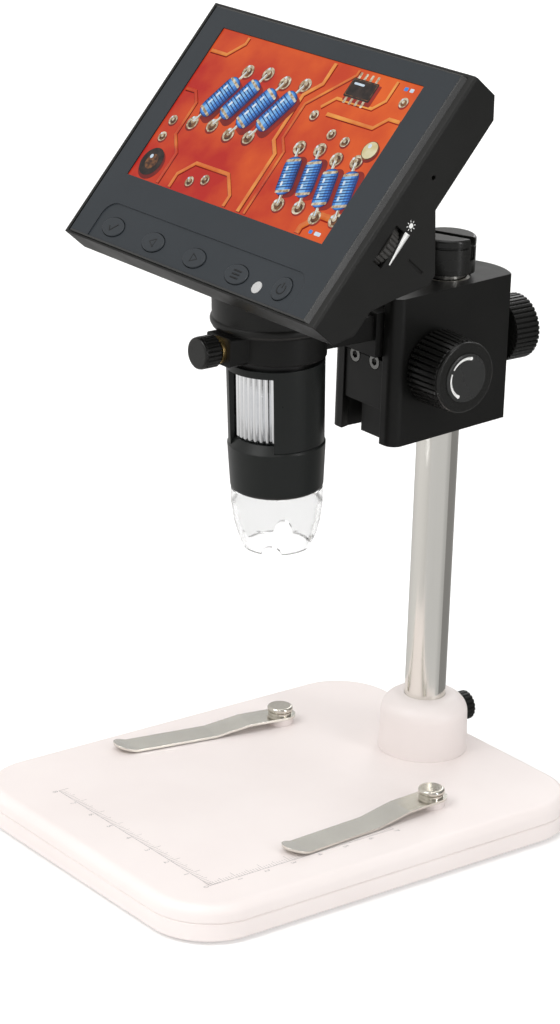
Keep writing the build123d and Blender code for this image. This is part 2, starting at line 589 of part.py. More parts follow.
cap_screw = rod(CAP_SCREW_R, (0, PLATE_FACE - 0.1, 0), (0, screw_floor, 0))
cap_screw += rod(SCREW_R, (0, screw_floor, 0), (0, rack_back - 0.05, 0))
hexagon = Plane(origin=(0, PLATE_FACE - 0.1, 0), z_dir=(0, 1, 0)) * RegularPolygon(HEX_R, 6)
cap_screw -= extrude(hexagon, 1.0)
parts["carriage_screws"] = Compound(children=[Pos(x, 0, CAP_SCREW_Z) * cap_screw
                                              for x in (-CAP_SCREW_X, CAP_SCREW_X)])

RING_BORE = BARREL_R + RUN
RING_TOP = RING_Z + RING_H
RING_MID = RING_Z + RING_H / 2
lean = Pos(0, BARREL_Y, RING_MID) * Rot(LEAN, 0, 0) * Pos(0, -BARREL_Y, -RING_MID)
foot_back = PLATE_FACE + PLATE_STEP
foot_front = foot_back - ARM_FOOT_T
ring = rod(RING_R, (0, BARREL_Y, RING_Z), (0, BARREL_Y, RING_TOP))
ring = chamfer(ring.edges().filter_by(GeomType.CIRCLE), 0.5)
arm = block(-ARM_W / 2, ARM_W / 2, BARREL_Y + RING_R - 3, foot_front, RING_Z + 0.6, RING_TOP - 0.6)
arm += block(-ARM_FOOT_W / 2, ARM_FOOT_W / 2, foot_front, foot_back, ARM_FOOT_Z, ARM_FOOT_Z + ARM_FOOT_H)
boss_face = BARREL_Y - BOSS_FRONT
boss = block(-BOSS_W / 2, BOSS_W / 2, boss_face, BARREL_Y - RING_R + 2, RING_Z, RING_TOP)
boss = fillet(boss.edges().filter_by(Axis.Y), 1.0)
clamp = ring + arm + boss
clamp -= lean * rod(RING_BORE, (0, BARREL_Y, RING_Z - 5), (0, BARREL_Y, RING_TOP + 5))
clamp -= rod(THUMB_STUD_R + RUN, (0, boss_face - 1, RING_MID), (0, BARREL_Y, RING_MID))
clamp -= rod(INSERT_BODY_R, (0, boss_face - 1, RING_MID), (0, boss_face + INSERT_BODY_L, RING_MID))
parts["clamp_ring"] = clamp

insert = rod(INSERT_R, (0, boss_face - INSERT_T, RING_MID), (0, boss_face, RING_MID))
insert += rod(INSERT_BODY_R, (0, boss_face, RING_MID), (0, boss_face + INSERT_BODY_L, RING_MID))
insert -= rod(THUMB_STUD_R + RUN, (0, boss_face - INSERT_T - 1, RING_MID), (0, BARREL_Y, RING_MID))
parts["ring_insert"] = insert

ring_knob_back = boss_face - INSERT_T - RING_KNOB_GAP
ring_knob = ribbed(RING_KNOB_R, 0.45, 22, (0, ring_knob_back, RING_MID),
                   (0, ring_knob_back - RING_KNOB_T + 1, RING_MID))
ring_knob_face = rod(RING_KNOB_R - 0.1, (0, ring_knob_back - RING_KNOB_T + 1, RING_MID),
                     (0, ring_knob_back - RING_KNOB_T, RING_MID))
ring_knob += fillet(ring_knob_face.faces().sort_by(Axis.Y)[0].edges(), 0.6)
ring_stud_end = (0, ring_knob_back - RING_KNOB_T / 2, RING_MID)
ring_knob -= rod(THUMB_STUD_R, (0, BARREL_Y, RING_MID), ring_stud_end)
parts["ring_knob"] = ring_knob
parts["ring_stud"] = rod(THUMB_STUD_R, (0, BARREL_Y - BARREL_R - 4 * RUN, RING_MID), ring_stud_end)

# ------------------------------------------------------------------ head, in the screen's frame
tilt = math.radians(FACE_TILT)
FACE = Plane(origin=(0, FACE_Y, FACE_Z), x_dir=(1, 0, 0), z_dir=(0, -math.cos(tilt), math.sin(tilt)))
side_frame = Plane(origin=(0, 0, 0), x_dir=(0, 1, 0), z_dir=(1, 0, 0))


def side_body(outline, u0, u1):
    """Profile in (v, h), extruded across the head from u0 to u1."""
    return Pos(u0, 0, 0) * extrude(side_frame * outline, u1 - u0, dir=(1, 0, 0))


outline = Polygon((HEAD_TOP, -RIM_SINK), (HEAD_TOP, -RIM_D), (BACK_HIGH, -BACK_D), (BOX_TOP, -BACK_D),
                  (BOX_CORNER, -BOX_D), (BOX_CHIN, -BOX_D), (BOX_KNEE, -BOX_KNEE_D), (BOX_FOOT, -BACK_D),
                  (BACK_LOW, -BACK_D), (HEAD_BOTTOM, -RIM_D), (HEAD_BOTTOM, -RIM_SINK), align=None)
shell = side_body(outline, HEAD_LEFT, HEAD_RIGHT)
shell_solid = FACE.location * shell
BEZEL_U0, BEZEL_U1 = HEAD_LEFT + BEZEL_LEFT, HEAD_RIGHT - BEZEL_RIGHT
BEZEL_V0, BEZEL_V1 = HEAD_BOTTOM + BEZEL_BOTTOM, HEAD_TOP - BEZEL_TOP
inside = side_body(offset(outline, -HEAD_WALL, kind=Kind.INTERSECTION), HEAD_LEFT + HEAD_WALL,
                   HEAD_RIGHT - SIDE_BAND)
shell = fillet(shell.edges().filter_by(Axis.X).sort_by(Axis.Z)[0:2], 2.0)
rim_edges = [e for e in shell.edges()
             if abs(e.center().Z + RIM_SINK) < 0.01 and abs(e.center().X - HEAD_RIGHT) < 0.01]
shell = chamfer(rim_edges, 0.7)
shell -= inside
shell -= block(BEZEL_U0, BEZEL_U1, BEZEL_V0, BEZEL_V1, -BEZEL_T, 1)
DIMMER_U = HEAD_RIGHT + DIMMER_PROUD - DIMMER_R
slot_h0, slot_h1 = -DIMMER_D - DIMMER_T / 2 - 0.4, -DIMMER_D + DIMMER_T / 2 + 0.4
shell -= block(HEAD_RIGHT - SIDE_BAND - 1, HEAD_RIGHT + 1, DIMMER_V - DIMMER_SLOT / 2,
               DIMMER_V + DIMMER_SLOT / 2, slot_h0, slot_h1)
shell -= block(HEAD_RIGHT - SIDE_BAND - 1, HEAD_RIGHT - 1.5, DIMMER_V - DIMMER_R - 0.4,
               DIMMER_V + DIMMER_R + 0.4, slot_h0 - 1.5, slot_h1)
key_names = ("button_enter", "button_left", "button_up", "button_menu", "button_power")
key_spots = {name: (KEY_U + (i - 2) * KEY_PITCH, KEY_V) for i, name in enumerate(key_names)}
key_spots["button_power"] = (KEY_U + 2 * KEY_PITCH, KEY_V + POWER_KEY_UP)
keys_u0, keys_u1 = KEY_U - 2 * KEY_PITCH - KEY_BOARD_END, KEY_U + 2 * KEY_PITCH + KEY_BOARD_END


def key_prism(name, grow, h0, h1):
    """Prism with a key's outline, wider by grow all round."""
    u, v = key_spots[name]
    oval = Ellipse(KEY_W / 2 + grow, KEY_H / 2 + grow)
    outline = Circle(POWER_KEY_R + grow) if name == "button_power" else oval
    return Pos(u, v, h0) * extrude(outline, h1 - h0)


shell -= block(keys_u0, keys_u1, HEAD_BOTTOM + 1, HEAD_BOTTOM + HEAD_WALL + 1, -BEZEL_T - 4, -BEZEL_T)
shell -= rod(PINHOLE_R, (HEAD_RIGHT - SIDE_BAND - 1, PINHOLE_V, -PINHOLE_D),
             (HEAD_RIGHT + 1, PINHOLE_V, -PINHOLE_D))
shell -= block(HEAD_RIGHT - MARK_SUNK, HEAD_RIGHT + 1, MARK_V, MARK_V + MARK_W, -MARK_D - MARK_L, -MARK_D)
port_u0, port_u1 = HEAD_LEFT - 1, HEAD_LEFT + HEAD_WALL + 1
for port_v, half_w, half_t in ((USB_V, USB_W / 2, USB_T / 2), (CARD_V, CARD_SLOT_W / 2, CARD_SLOT_T / 2)):
    shell -= block(port_u0, port_u1, port_v - half_w - 0.25, port_v + half_w + 0.25,
                   -SOCKET_D - half_t - 0.25, -SOCKET_D + half_t + 0.25)
case_u0 = HEAD_LEFT + HEAD_WALL + CASE_POST_R + 0.05
case_u1 = HEAD_RIGHT - SIDE_BAND - CASE_POST_R - 1.4
case_spots = [(u, v) for v in (CASE_POST_V, CASE_POST_V - CASE_POST_PITCH) for u in (case_u0, case_u1)]
for u, v in case_spots:
    shell -= rod(SCREW_R, (u, v, -BACK_D - 1), (u, v, -BACK_D + HEAD_WALL + 1))
    shell -= rod(SCREW_HEAD_R, (u, v, -BACK_D - 1), (u, v, -BACK_D + 1.1))
shell = FACE.location * shell
wire_y = BARREL_Y - WIRE_HOLE_Y
shell -= lean * rod(WIRE_HOLE_R, (0, wire_y, NECK_Z), (0, wire_y, NECK_TOP + 3))
parts["rear_housing"] = shell

bezel = block(BEZEL_U0, BEZEL_U1, BEZEL_V0, BEZEL_V1, -BEZEL_T, 0)
side_edges = [e for e in bezel.edges().filter_by(Axis.Y) if abs(e.center().Z) < 0.01]
bezel = chamfer(side_edges, BEZEL_BEVEL)
long_edges = [e for e in bezel.edges().filter_by(Axis.X) if abs(e.center().Z) < 0.01]
bezel = fillet(long_edges, 0.5)
PANEL_U0, PANEL_U1 = BEZEL_U0 + BEZEL_BEVEL, BEZEL_U1 - BEZEL_BEVEL
PANEL_V0, PANEL_V1 = BEZEL_V0 + PANEL_MARGIN, BEZEL_V1 - PANEL_MARGIN
bezel -= block(PANEL_U0, PANEL_U1, PANEL_V0, PANEL_V1, -PANEL_T, 1)
lcd0, lcd1 = LCD_U - LCD_W / 2, LCD_U + LCD_W / 2
bezel -= block(lcd0, lcd1, -LCD_H / 2, LCD_H / 2, -BEZEL_T - 1, 1)
frame_u0, frame_u1 = lcd0 - LCD_FRAME_SIDE, lcd1 + LCD_FRAME_SIDE
frame_v0, frame_v1 = -LCD_H / 2 - LCD_FRAME_LOW, LCD_H / 2 + LCD_FRAME_HIGH
screen_h = -PANEL_T + 0.2
module_h = screen_h - LCD_GLASS_T
bezel -= block(frame_u0, frame_u1, frame_v0, frame_v1, -BEZEL_T - 1, module_h)
for name in key_names:
    bezel -= key_prism(name, KEY_GAP, -BEZEL_T - 1, 1)
bezel -= rod(LIGHT_R, (LIGHT_U, LIGHT_V, -BEZEL_T - 1), (LIGHT_U, LIGHT_V, 1))
for u, v in case_spots:
    bezel += rod(CASE_POST_R, (u, v, -BACK_D + HEAD_WALL), (u, v, -BEZEL_T + 0.5))
    bezel -= rod(SCREW_R, (u, v, -BACK_D), (u, v, -BEZEL_T + 0.5))
parts["bezel"] = FACE.location * bezel

panel = block(PANEL_U0, PANEL_U1, PANEL_V0, PANEL_V1, -PANEL_T, 0)
panel -= block(lcd0, lcd1, -LCD_H / 2, LCD_H / 2, -PANEL_T - 1, 1)
pad_mid = (PAD_LEFT + PAD_RIGHT) / 2
pad_low = PANEL_V0 - PAD_CORNER_R - 2
pad = Pos(pad_mid, (PAD_TOP + pad_low) / 2, -PAD_SINK) * extrude(
    RectangleRounded(PAD_RIGHT - PAD_LEFT, PAD_TOP - pad_low, PAD_CORNER_R), 2)
panel -= pad
for name in key_names:
    panel -= key_prism(name, KEY_GAP, -PANEL_T - 1, 1)
panel -= rod(LIGHT_R, (LIGHT_U, LIGHT_V, -PANEL_T - 1), (LIGHT_U, LIGHT_V, 1))
parts["face_panel"] = FACE.location * panel

parts["lcd_glass"] = FACE.location * block(lcd0, lcd1, -LCD_H / 2, LCD_H / 2, module_h, screen_h)
lcd_module = block(frame_u0, frame_u1, frame_v0, frame_v1, module_h - MODULE_T, module_h)
parts["lcd_module"] = FACE.location * lcd_module

key_flange = -BEZEL_T - 0.05
key_foot = key_flange - KEY_FLANGE_T
for name in key_names:
    key = key_prism(name, 0, key_foot, KEY_PROUD)
    key = fillet(key.faces().sort_by(Axis.Z)[-1].edges(), 0.35)
    key += key_prism(name, KEY_FLANGE, key_foot, key_flange)
    parts[name] = FACE.location * key

switch_top = key_foot - KEY_TRAVEL - 0.1
switch_half, plunger_z = SWITCH_W / 2, switch_top - 0.4
board_top = switch_top - SWITCH_H
switch = block(-switch_half, switch_half, -switch_half, switch_half, board_top, plunger_z)
switch += rod(SWITCH_TOP_R, (0, 0, plunger_z), (0, 0, switch_top))
parts["switches"] = FACE.location * Compound(children=[Pos(u, v, 0) * switch
                                                       for u, v in key_spots.values()])
key_board = block(keys_u0, keys_u1, KEY_V - 3.2, KEY_V + 6.5, board_top - KEY_BOARD_T, board_top)
parts["button_board"] = FACE.location * key_board
light = rod(LIGHT_R, (LIGHT_U, LIGHT_V, board_top), (LIGHT_U, LIGHT_V, -PAD_SINK + 0.15))
parts["power_light"] = FACE.location * light

board_u0, board_u1 = HEAD_LEFT + HEAD_WALL, HEAD_RIGHT - SIDE_BAND - 1.5
board_face = BOARD_H + BOARD_T
board = block(board_u0, board_u1, HEAD_BOTTOM + 20.3, HEAD_TOP - 6.4, BOARD_H, board_face)
for u, v in case_spots:
    board -= rod(CASE_POST_R + 0.4, (u, v, BOARD_H - 1), (u, v, board_face + 1))
parts["main_board"] = FACE.location * board
parts["battery"] = FACE.location * block(-BATTERY_W / 2, BATTERY_W / 2, BATTERY_V, BATTERY_V + BATTERY_H,
                                         BOARD_H - BATTERY_T, BOARD_H)


def socket_box(u0, u1, v, half_w, h0, h1):
    """Box for a socket or its mouth, centred on v."""
    return block(u0, u1, v - half_w, v + half_w, h0, h1)


usb_low, usb_high = -SOCKET_D - USB_T / 2, -SOCKET_D + USB_T / 2
usb = socket_box(board_u0 - 1.4, board_u0 + 5.0, USB_V, USB_W / 2, usb_low, usb_high)
usb -= socket_box(board_u0 - 2, board_u0 + 4.0, USB_V, USB_W / 2 - 0.45, usb_low + 0.45, usb_high - 0.45)
usb += socket_box(board_u0, board_u0 + 4.5, USB_V, 2.4, -SOCKET_D - 0.3, -SOCKET_D + 0.3)
usb += socket_box(board_u0 + 0.5, board_u0 + 5.0, USB_V, 3.0, board_face, usb_low)
parts["usb_socket"] = FACE.location * usb
card_low, card_high = -SOCKET_D - CARD_SLOT_T / 2, -SOCKET_D + CARD_SLOT_T / 2
card = socket_box(board_u0, board_u0 + CARD_L, CARD_V, CARD_W / 2, board_face, card_high + 0.4)
card -= socket_box(board_u0 - 1, board_u0 + CARD_L - 2, CARD_V, CARD_SLOT_W / 2, card_low, card_high)
parts["card_socket"] = FACE.location * card

dimmer_low, dimmer_high = -DIMMER_D - DIMMER_T / 2, -DIMMER_D + DIMMER_T / 2
dimmer = ribbed(DIMMER_R, 0.5, 32, (0, 0, dimmer_low), (0, 0, dimmer_high))
dimmer -= rod(1.5 + RUN, (0, 0, dimmer_low - 1), (0, 0, dimmer_high + 1))
parts["dimmer_wheel"] = FACE.location * Pos(DIMMER_U, DIMMER_V, 0) * dimmer
dimmer_pot = block(-6.0, 2.4, -4.0, 4.0, board_face, dimmer_low - 0.15)
dimmer_pot += rod(1.5, (0, 0, dimmer_low - 0.15), (0, 0, dimmer_high))
parts["dimmer_pot"] = FACE.location * Pos(DIMMER_U, DIMMER_V, 0) * dimmer_pot

case_screw = rod(SCREW_HEAD_R - 0.2, (0, 0, -BACK_D + 0.1), (0, 0, -BACK_D + 1.1))
case_screw += rod(SCREW_R, (0, 0, -BACK_D + 1.1), (0, 0, -BEZEL_T))
case_screws = Compound(children=[Pos(u, v, 0) * case_screw for u, v in case_spots])
parts["housing_screws"] = FACE.location * case_screws

# ------------------------------------------------------------------ neck, barrel, focus wheel, nose


def barrel(z):
    """Point on the barrel's axis."""
    return (0, BARREL_Y, z)


neck = rod(NECK_R, barrel(NECK_Z), barrel(NECK_TOP))
neck = fillet(neck.faces().sort_by(Axis.Z)[-1].edges(), 2.0)
bead = rod(BEAD_R, barrel(NECK_Z), barrel(NECK_Z + BEAD_H))
neck += fillet(bead.edges().filter_by(GeomType.CIRCLE), BEAD_H / 2 - 0.1)
NECK_ROOF = NECK_TOP - NECK_ROOF_T
TUBE_HEAD_Z = NECK_ROOF - 2.0
neck -= rod(NECK_R - NECK_WALL, barrel(NECK_Z + NECK_WALL + 1), barrel(NECK_ROOF))
neck -= rod(BARREL_R, barrel(NECK_Z - 1), barrel(NECK_ROOF))
neck -= rod(WIRE_HOLE_R, (0, wire_y, NECK_ROOF - 1), (0, wire_y, NECK_TOP + 1))
neck = lean * neck
neck -= shell_solid
parts["neck"] = neck.solids().sort_by(SortBy.VOLUME)[-1]

tube_in = BARREL_R - TUBE_WALL
tube = rod(BARREL_R, barrel(TUBE_STEP_Z), barrel(TUBE_HEAD_Z), tube_in)
tube += rod(NECK_R - NECK_WALL, barrel(TUBE_HEAD_Z), barrel(NECK_ROOF), tube_in)
tube += rod(TUBE_R, barrel(TUBE_LOW_Z), barrel(TUBE_STEP_Z + TUBE_FLANGE_T), TUBE_BORE)
tube += rod(BARREL_R, barrel(TUBE_STEP_Z), barrel(TUBE_STEP_Z + TUBE_FLANGE_T), TUBE_BORE)
parts["barrel_tube"] = lean * tube

lip_out = WHEEL_R + 0.1
lip_slope = (NOSE_R - lip_out) / (LIP_Z - LIP_LOW_Z)
bore_z = LIP_LOW_Z + (NOSE_R - SLEEVE_BORE) / lip_slope
edge_z = LIP_LOW_Z + (NOSE_R - SLEEVE_LOW_R) / lip_slope
sleeve = turned([(SLEEVE_BORE, bore_z), (SLEEVE_BORE, TUBE_STEP_Z), (BARREL_R, TUBE_STEP_Z),
                 (BARREL_R, SLEEVE_TOP), (SLEEVE_TOP_R, SLEEVE_TOP), (SLEEVE_LOW_R, edge_z)], 0, BARREL_Y)
window_low = LIP_LOW_Z - 2
window_top = WHEEL_Z + WHEEL_H + 0.2
for mid in (WINDOW_MID, WINDOW_MID + 180):
    wedge = [(0, 0)]
    for turn in (-WINDOW_HALF, -WINDOW_HALF / 2, 0, WINDOW_HALF / 2, WINDOW_HALF):
        angle = math.radians(mid + turn - 90)
        wedge.append((2 * NECK_R * math.cos(angle), 2 * NECK_R * math.sin(angle)))
    sleeve -= Pos(0, BARREL_Y, window_low) * prism(wedge, window_top - window_low)
parts["barrel_sleeve"] = lean * sleeve

wheel = ribbed(WHEEL_R, 0.35, WHEEL_RIBS, barrel(WHEEL_Z), barrel(WHEEL_Z + WHEEL_H))
wheel -= rod(TUBE_R + RUN, barrel(WHEEL_Z - 1), barrel(WHEEL_Z + WHEEL_H + 1))
parts["focus_wheel"] = lean * wheel

nose_in = NOSE_TIP_R - NOSE_WALL
nose = turned([(TUBE_R, LIP_Z), (lip_out, LIP_Z), (NOSE_R, LIP_LOW_Z), (NOSE_TIP_R, NOSE_Z),
               (nose_in, NOSE_Z), (nose_in, TUBE_LOW_Z), (TUBE_R, TUBE_LOW_Z)], 0, BARREL_Y)
nose_edge = nose.edges().filter_by(GeomType.CIRCLE).group_by(Axis.Z)[0].sort_by(lambda e: e.radius)[-1]
parts["nose_housing"] = lean * fillet(nose_edge, 1.4)

led_z = TUBE_LOW_Z - BOARD_RING_T
parts["led_board"] = lean * rod(nose_in, barrel(led_z), barrel(TUBE_LOW_Z), LENS_R + 0.6)
led = Box(LED_SIZE, LED_SIZE, LED_T)
led_ring = [Rot(0, 0, 45 * i) * Pos(LED_CIRCLE_R, 0, 0) * led for i in range(8)]
parts["leds"] = lean * Pos(0, BARREL_Y, led_z - LED_T / 2) * Compound(children=led_ring)

tip_outer = [(NOSE_TIP_R - 0.15, NOSE_Z), (NOSE_TIP_R - 0.2, NOSE_Z - 4.9), (NOSE_TIP_R - 1.0, NOSE_Z - 10.7),
             (NOSE_TIP_R - 2.05, NOSE_Z - 14.6), (NOSE_TIP_R - 3.55, TIP_LOW_Z)]
tip_inner = [(r - TIP_WALL, z) for r, z in reversed(tip_outer)]
tip_inner[-1] = (nose_in - TIP_WALL, NOSE_Z)
plug_z = NOSE_Z + TIP_PLUG_H
tip = turned(tip_outer + tip_inner + [(nose_in - TIP_WALL, plug_z), (nose_in, plug_z), (nose_in, NOSE_Z)],
             0, BARREL_Y)
for i in range(4):
    angle = math.radians(90 * i - 48)
    end = (NECK_R * math.cos(angle), BARREL_Y + NECK_R * math.sin(angle), TIP_LOW_Z)
    tip -= rod(TIP_NOTCH_R, barrel(TIP_LOW_Z), end)
parts["clear_tip"] = lean * tip

lens_in = LENS_R - LENS_WALL
cell_head_z = CELL_TOP - CELL_HEAD_H
cell = rod(LENS_R, barrel(led_z - 1.0), barrel(cell_head_z), lens_in)
cell += rod(TUBE_BORE - RUN, barrel(cell_head_z), barrel(CELL_TOP), lens_in)
parts["lens_cell"] = lean * cell
front_lens = rod(lens_in, barrel(led_z), barrel(led_z + 1.6))
parts["lenses"] = lean * (front_lens + rod(lens_in, barrel(cell_head_z + 1), barrel(cell_head_z + 3)))
parts["camera_board"] = lean * rod(tube_in, barrel(TUBE_HEAD_Z - 2.0), barrel(TUBE_HEAD_Z - 0.8))

# ------------------------------------------------------------------ origin and export
whole = Compound(children=[copy for shape in parts.values() for copy in shape.solids()]).bounding_box()
ORIGIN_X = (whole.min.X + whole.max.X) / 2
ORIGIN_Y = (whole.min.Y + whole.max.Y) / 2
home = Pos(-ORIGIN_X, -ORIGIN_Y, 0)

os.makedirs("parts", exist_ok=True)
for name, shape in parts.items():
    solids = [home * solid for solid in shape.solids()]
    export_step(solids[0] if len(solids) == 1 else Compound(children=solids), f"parts/{name}.step")
print("pole axis at", round(-ORIGIN_X, 4), round(-ORIGIN_Y, 4), "of", len(parts), "nodes")
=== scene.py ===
import math

import bpy
from mathutils import Matrix, Vector


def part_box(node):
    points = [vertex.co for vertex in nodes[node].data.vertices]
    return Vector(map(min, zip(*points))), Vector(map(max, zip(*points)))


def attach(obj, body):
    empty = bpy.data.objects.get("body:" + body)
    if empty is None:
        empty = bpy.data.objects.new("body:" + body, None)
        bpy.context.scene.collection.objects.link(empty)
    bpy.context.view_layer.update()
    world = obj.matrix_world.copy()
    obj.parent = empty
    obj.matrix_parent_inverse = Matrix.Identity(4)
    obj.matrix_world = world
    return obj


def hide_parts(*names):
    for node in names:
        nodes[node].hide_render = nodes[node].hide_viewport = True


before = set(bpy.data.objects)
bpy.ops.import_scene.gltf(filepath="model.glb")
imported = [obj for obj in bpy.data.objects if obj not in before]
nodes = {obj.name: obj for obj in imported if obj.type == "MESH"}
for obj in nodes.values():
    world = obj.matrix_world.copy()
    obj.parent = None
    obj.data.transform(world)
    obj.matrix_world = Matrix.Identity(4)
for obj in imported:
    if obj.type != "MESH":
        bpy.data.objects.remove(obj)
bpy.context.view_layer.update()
for shown in bpy.context.selected_objects:
    shown.select_set(False)

# ---------------------------------------------------------------- camera, floor and light
# A white studio table: one long lens looks down at the right front corner of the instrument, and soft
# boxes and strips stand round it. The table glows a little, more so far away, where it meets a white
# dome; a faded card below it shows only in the polish of the metal.
CAMERA_AT = (0.73023, -0.5826, 0.43705)
CAMERA_TURN = (70.320, -1.780, 52.556)
CAMERA_LENS = 113.44
FILM_HEIGHT = 36.0
FAR_END = 20.0

bpy.ops.object.camera_add(location=CAMERA_AT, rotation=[math.radians(turn) for turn in CAMERA_TURN])
camera = bpy.context.object
camera.name = "camera"
camera.data.sensor_fit = "VERTICAL"
camera.data.sensor_height = FILM_HEIGHT
camera.data.lens = CAMERA_LENS
camera.data.clip_end = FAR_END
bpy.context.scene.camera = camera
bpy.context.scene.view_settings.view_transform = "Standard"


def new_finish(name, colour, roughness, metallic=0.0):
    """A material in a plain colour, with its node tree and its shader."""
    material = bpy.data.materials.new(name)
    material.use_nodes = True
    tree = material.node_tree
    shader = tree.nodes["Principled BSDF"]
    shader.inputs["Base Color"].default_value = (*colour, 1.0)
    shader.inputs["Roughness"].default_value = roughness
    shader.inputs["Metallic"].default_value = metallic
    return material, tree, shader


def glowing(name, colour, roughness, power=0.0):
    """A plain finish that also gives white light of its own."""
    material, tree, shader = new_finish(name, colour, roughness)
    shader.inputs["Emission Color"].default_value = (1.0, 1.0, 1.0, 1.0)
    shader.inputs["Emission Strength"].default_value = power
    return material, tree, shader


def spread(tree, value, low, high, at=(0.3, 0.7)):
    """Maps a pattern to the range from low to high, from one value of it to another."""
    span = tree.nodes.new("ShaderNodeMapRange")
    for socket, number in zip(("From Min", "From Max", "To Min", "To Max"), (*at, low, high)):
        span.inputs[socket].default_value = number
    tree.links.new(value, span.inputs["Value"])
    return span.outputs["Result"]


def along(tree, kind, way):
    """How far a point lies along a direction, in the kind of coordinates that is named."""
    place = tree.nodes.new("ShaderNodeTexCoord")
    reach = tree.nodes.new("ShaderNodeVectorMath")
    reach.operation = "DOT_PRODUCT"
    reach.inputs[1].default_value = way
    tree.links.new(place.outputs[kind], reach.inputs[0])
    return reach.outputs["Value"]


SKY_COLOUR = (1.0, 0.99, 0.975, 1.0)
BRIGHT_WAY = (-0.52, -0.66, 0.54)
SKY_DIM, SKY_BRIGHT = 0.26, 0.86
studio = bpy.data.worlds.new("studio")
studio.use_nodes = True
sky = studio.node_tree
backlight = sky.nodes["Background"]
backlight.inputs["Color"].default_value = SKY_COLOUR
sky.links.new(spread(sky, along(sky, "Generated", BRIGHT_WAY), SKY_DIM, SKY_BRIGHT, (-0.75, 0.85)),
              backlight.inputs["Strength"])
bpy.context.scene.world = studio

FLOOR_SPAN = 8.0
FLOOR_Z = -0.0002
FLOOR_GREY = (0.82, 0.82, 0.82)
GLOW_NEAR, GLOW_FAR = 0.22, 0.6
GLOW_FROM, GLOW_TO = 0.7, 1.8
bpy.ops.mesh.primitive_plane_add(size=FLOOR_SPAN, location=(0, 0, FLOOR_Z))
floor = bpy.context.object
floor.name = "floor"
floor.visible_glossy = False
light_table, table_tree, table_shader = glowing("light_table", FLOOR_GREY, 0.8)
table_place = table_tree.nodes.new("ShaderNodeTexCoord")
distance = table_tree.nodes.new("ShaderNodeVectorMath")
distance.operation = "LENGTH"
table_tree.links.new(table_place.outputs["Object"], distance.inputs[0])
table_glow = spread(table_tree, distance.outputs["Value"], GLOW_NEAR, GLOW_FAR, (GLOW_FROM, GLOW_TO))
table_tree.links.new(table_glow, table_shader.inputs["Emission Strength"])
floor.data.materials.append(light_table)

DOME_R = 4.0
DOME_GLOW = 0.97
NO_COLOUR = (0.0, 0.0, 0.0)
bpy.ops.mesh.primitive_uv_sphere_add(radius=DOME_R, segments=64, ring_count=32)
backdrop = bpy.context.object
backdrop.name = "backdrop"
backdrop.visible_diffuse = backdrop.visible_glossy = backdrop.visible_transmission = False
backdrop.visible_shadow = False
backdrop.data.materials.append(glowing("backdrop_white", NO_COLOUR, 0.5, DOME_GLOW)[0])

POLE_MIDDLE = Vector((0, 0.05, 0.12))
CARD_TURN = math.radians(-14)
CARD_DROP = 0.36
CARD_AWAY = 1.5
CARD_SPAN = (4.4, 1.1, 1.0)
CARD_DIM, CARD_BRIGHT = 0.28, 0.62
card_way = Vector((math.cos(CARD_TURN), math.sin(CARD_TURN), -CARD_DROP))
bpy.ops.mesh.primitive_plane_add(size=1.0, location=POLE_MIDDLE + CARD_AWAY * card_way,
                                 rotation=card_way.to_track_quat("-Z", "Y").to_euler())
card = bpy.context.object
card.name = "bounce_card"
card.scale = CARD_SPAN
card.visible_camera = card.visible_diffuse = card.visible_transmission = card.visible_shadow = False
card_white, card_tree, card_shader = glowing("card_white", NO_COLOUR, 0.5)
card_glow = spread(card_tree, along(card_tree, "Object", (1, 0, 0)), CARD_DIM, CARD_BRIGHT, (-0.5, -0.16))
card_tree.links.new(card_glow, card_shader.inputs["Emission Strength"])
card.data.materials.append(card_white)

AIM = Vector((0, 0, 0.12))
for name, place, span, power in (
        ("key_box", (-0.1, -1.25, 1.55), (1.0, 1.0), 15.0),
        ("flank_strip", (1.3, 0.36, 0.5), (0.18, 1.3), 6.0),
        ("front_strip", (1.15, -0.9, 1.25), (0.2, 0.9), 1.6),
        ("back_strip", (-0.75, 1.1, 0.8), (0.5, 1.0), 3.0),
        ("top_box", (0.1, 0.0, 1.6), (1.1, 1.1), 6.0)):
    toward = (AIM - Vector(place)).to_track_quat("-Z", "Y").to_euler()
    bpy.ops.object.light_add(type="AREA", location=place, rotation=toward)
    lamp = bpy.context.object
    lamp.name = name
    lamp.data.shape = "RECTANGLE"
    lamp.data.size, lamp.data.size_y = span
    lamp.data.energy = power

# ---------------------------------------------------------------- base and collar shells
# Two white ABS shells meet at a fine seam all round and are screwed together from below; the collar
# that holds the pole is a third moulding. Satin, a little warm, with a spark-eroded grain.


def noise_of(tree, scale, detail=2.0, stretch=(1.0, 1.0, 1.0)):
    """Noise on a piece, in features per metre; a small stretch draws it out along that axis."""
    place = tree.nodes.new("ShaderNodeTexCoord")
    turn = tree.nodes.new("ShaderNodeMapping")
    turn.inputs["Scale"].default_value = stretch
    noise = tree.nodes.new("ShaderNodeTexNoise")
    noise.inputs["Scale"].default_value = scale
    noise.inputs["Detail"].default_value = detail
    tree.links.new(place.outputs["Object"], turn.inputs["Vector"])
    tree.links.new(turn.outputs["Vector"], noise.inputs["Vector"])
    return noise.outputs["Fac"]


MIX_FACTOR, MIX_FIRST, MIX_SECOND, MIX_RESULT = 0, 6, 7, 2


def tint(tree, share, first, second):
    """Colour between two, by a 0 to 1 pattern."""
    mix = tree.nodes.new("ShaderNodeMix")
    mix.data_type = "RGBA"
    mix.inputs[MIX_FIRST].default_value = (*first, 1.0)
    mix.inputs[MIX_SECOND].default_value = (*second, 1.0)
    tree.links.new(share, mix.inputs[MIX_FACTOR])
    return mix.outputs[MIX_RESULT]


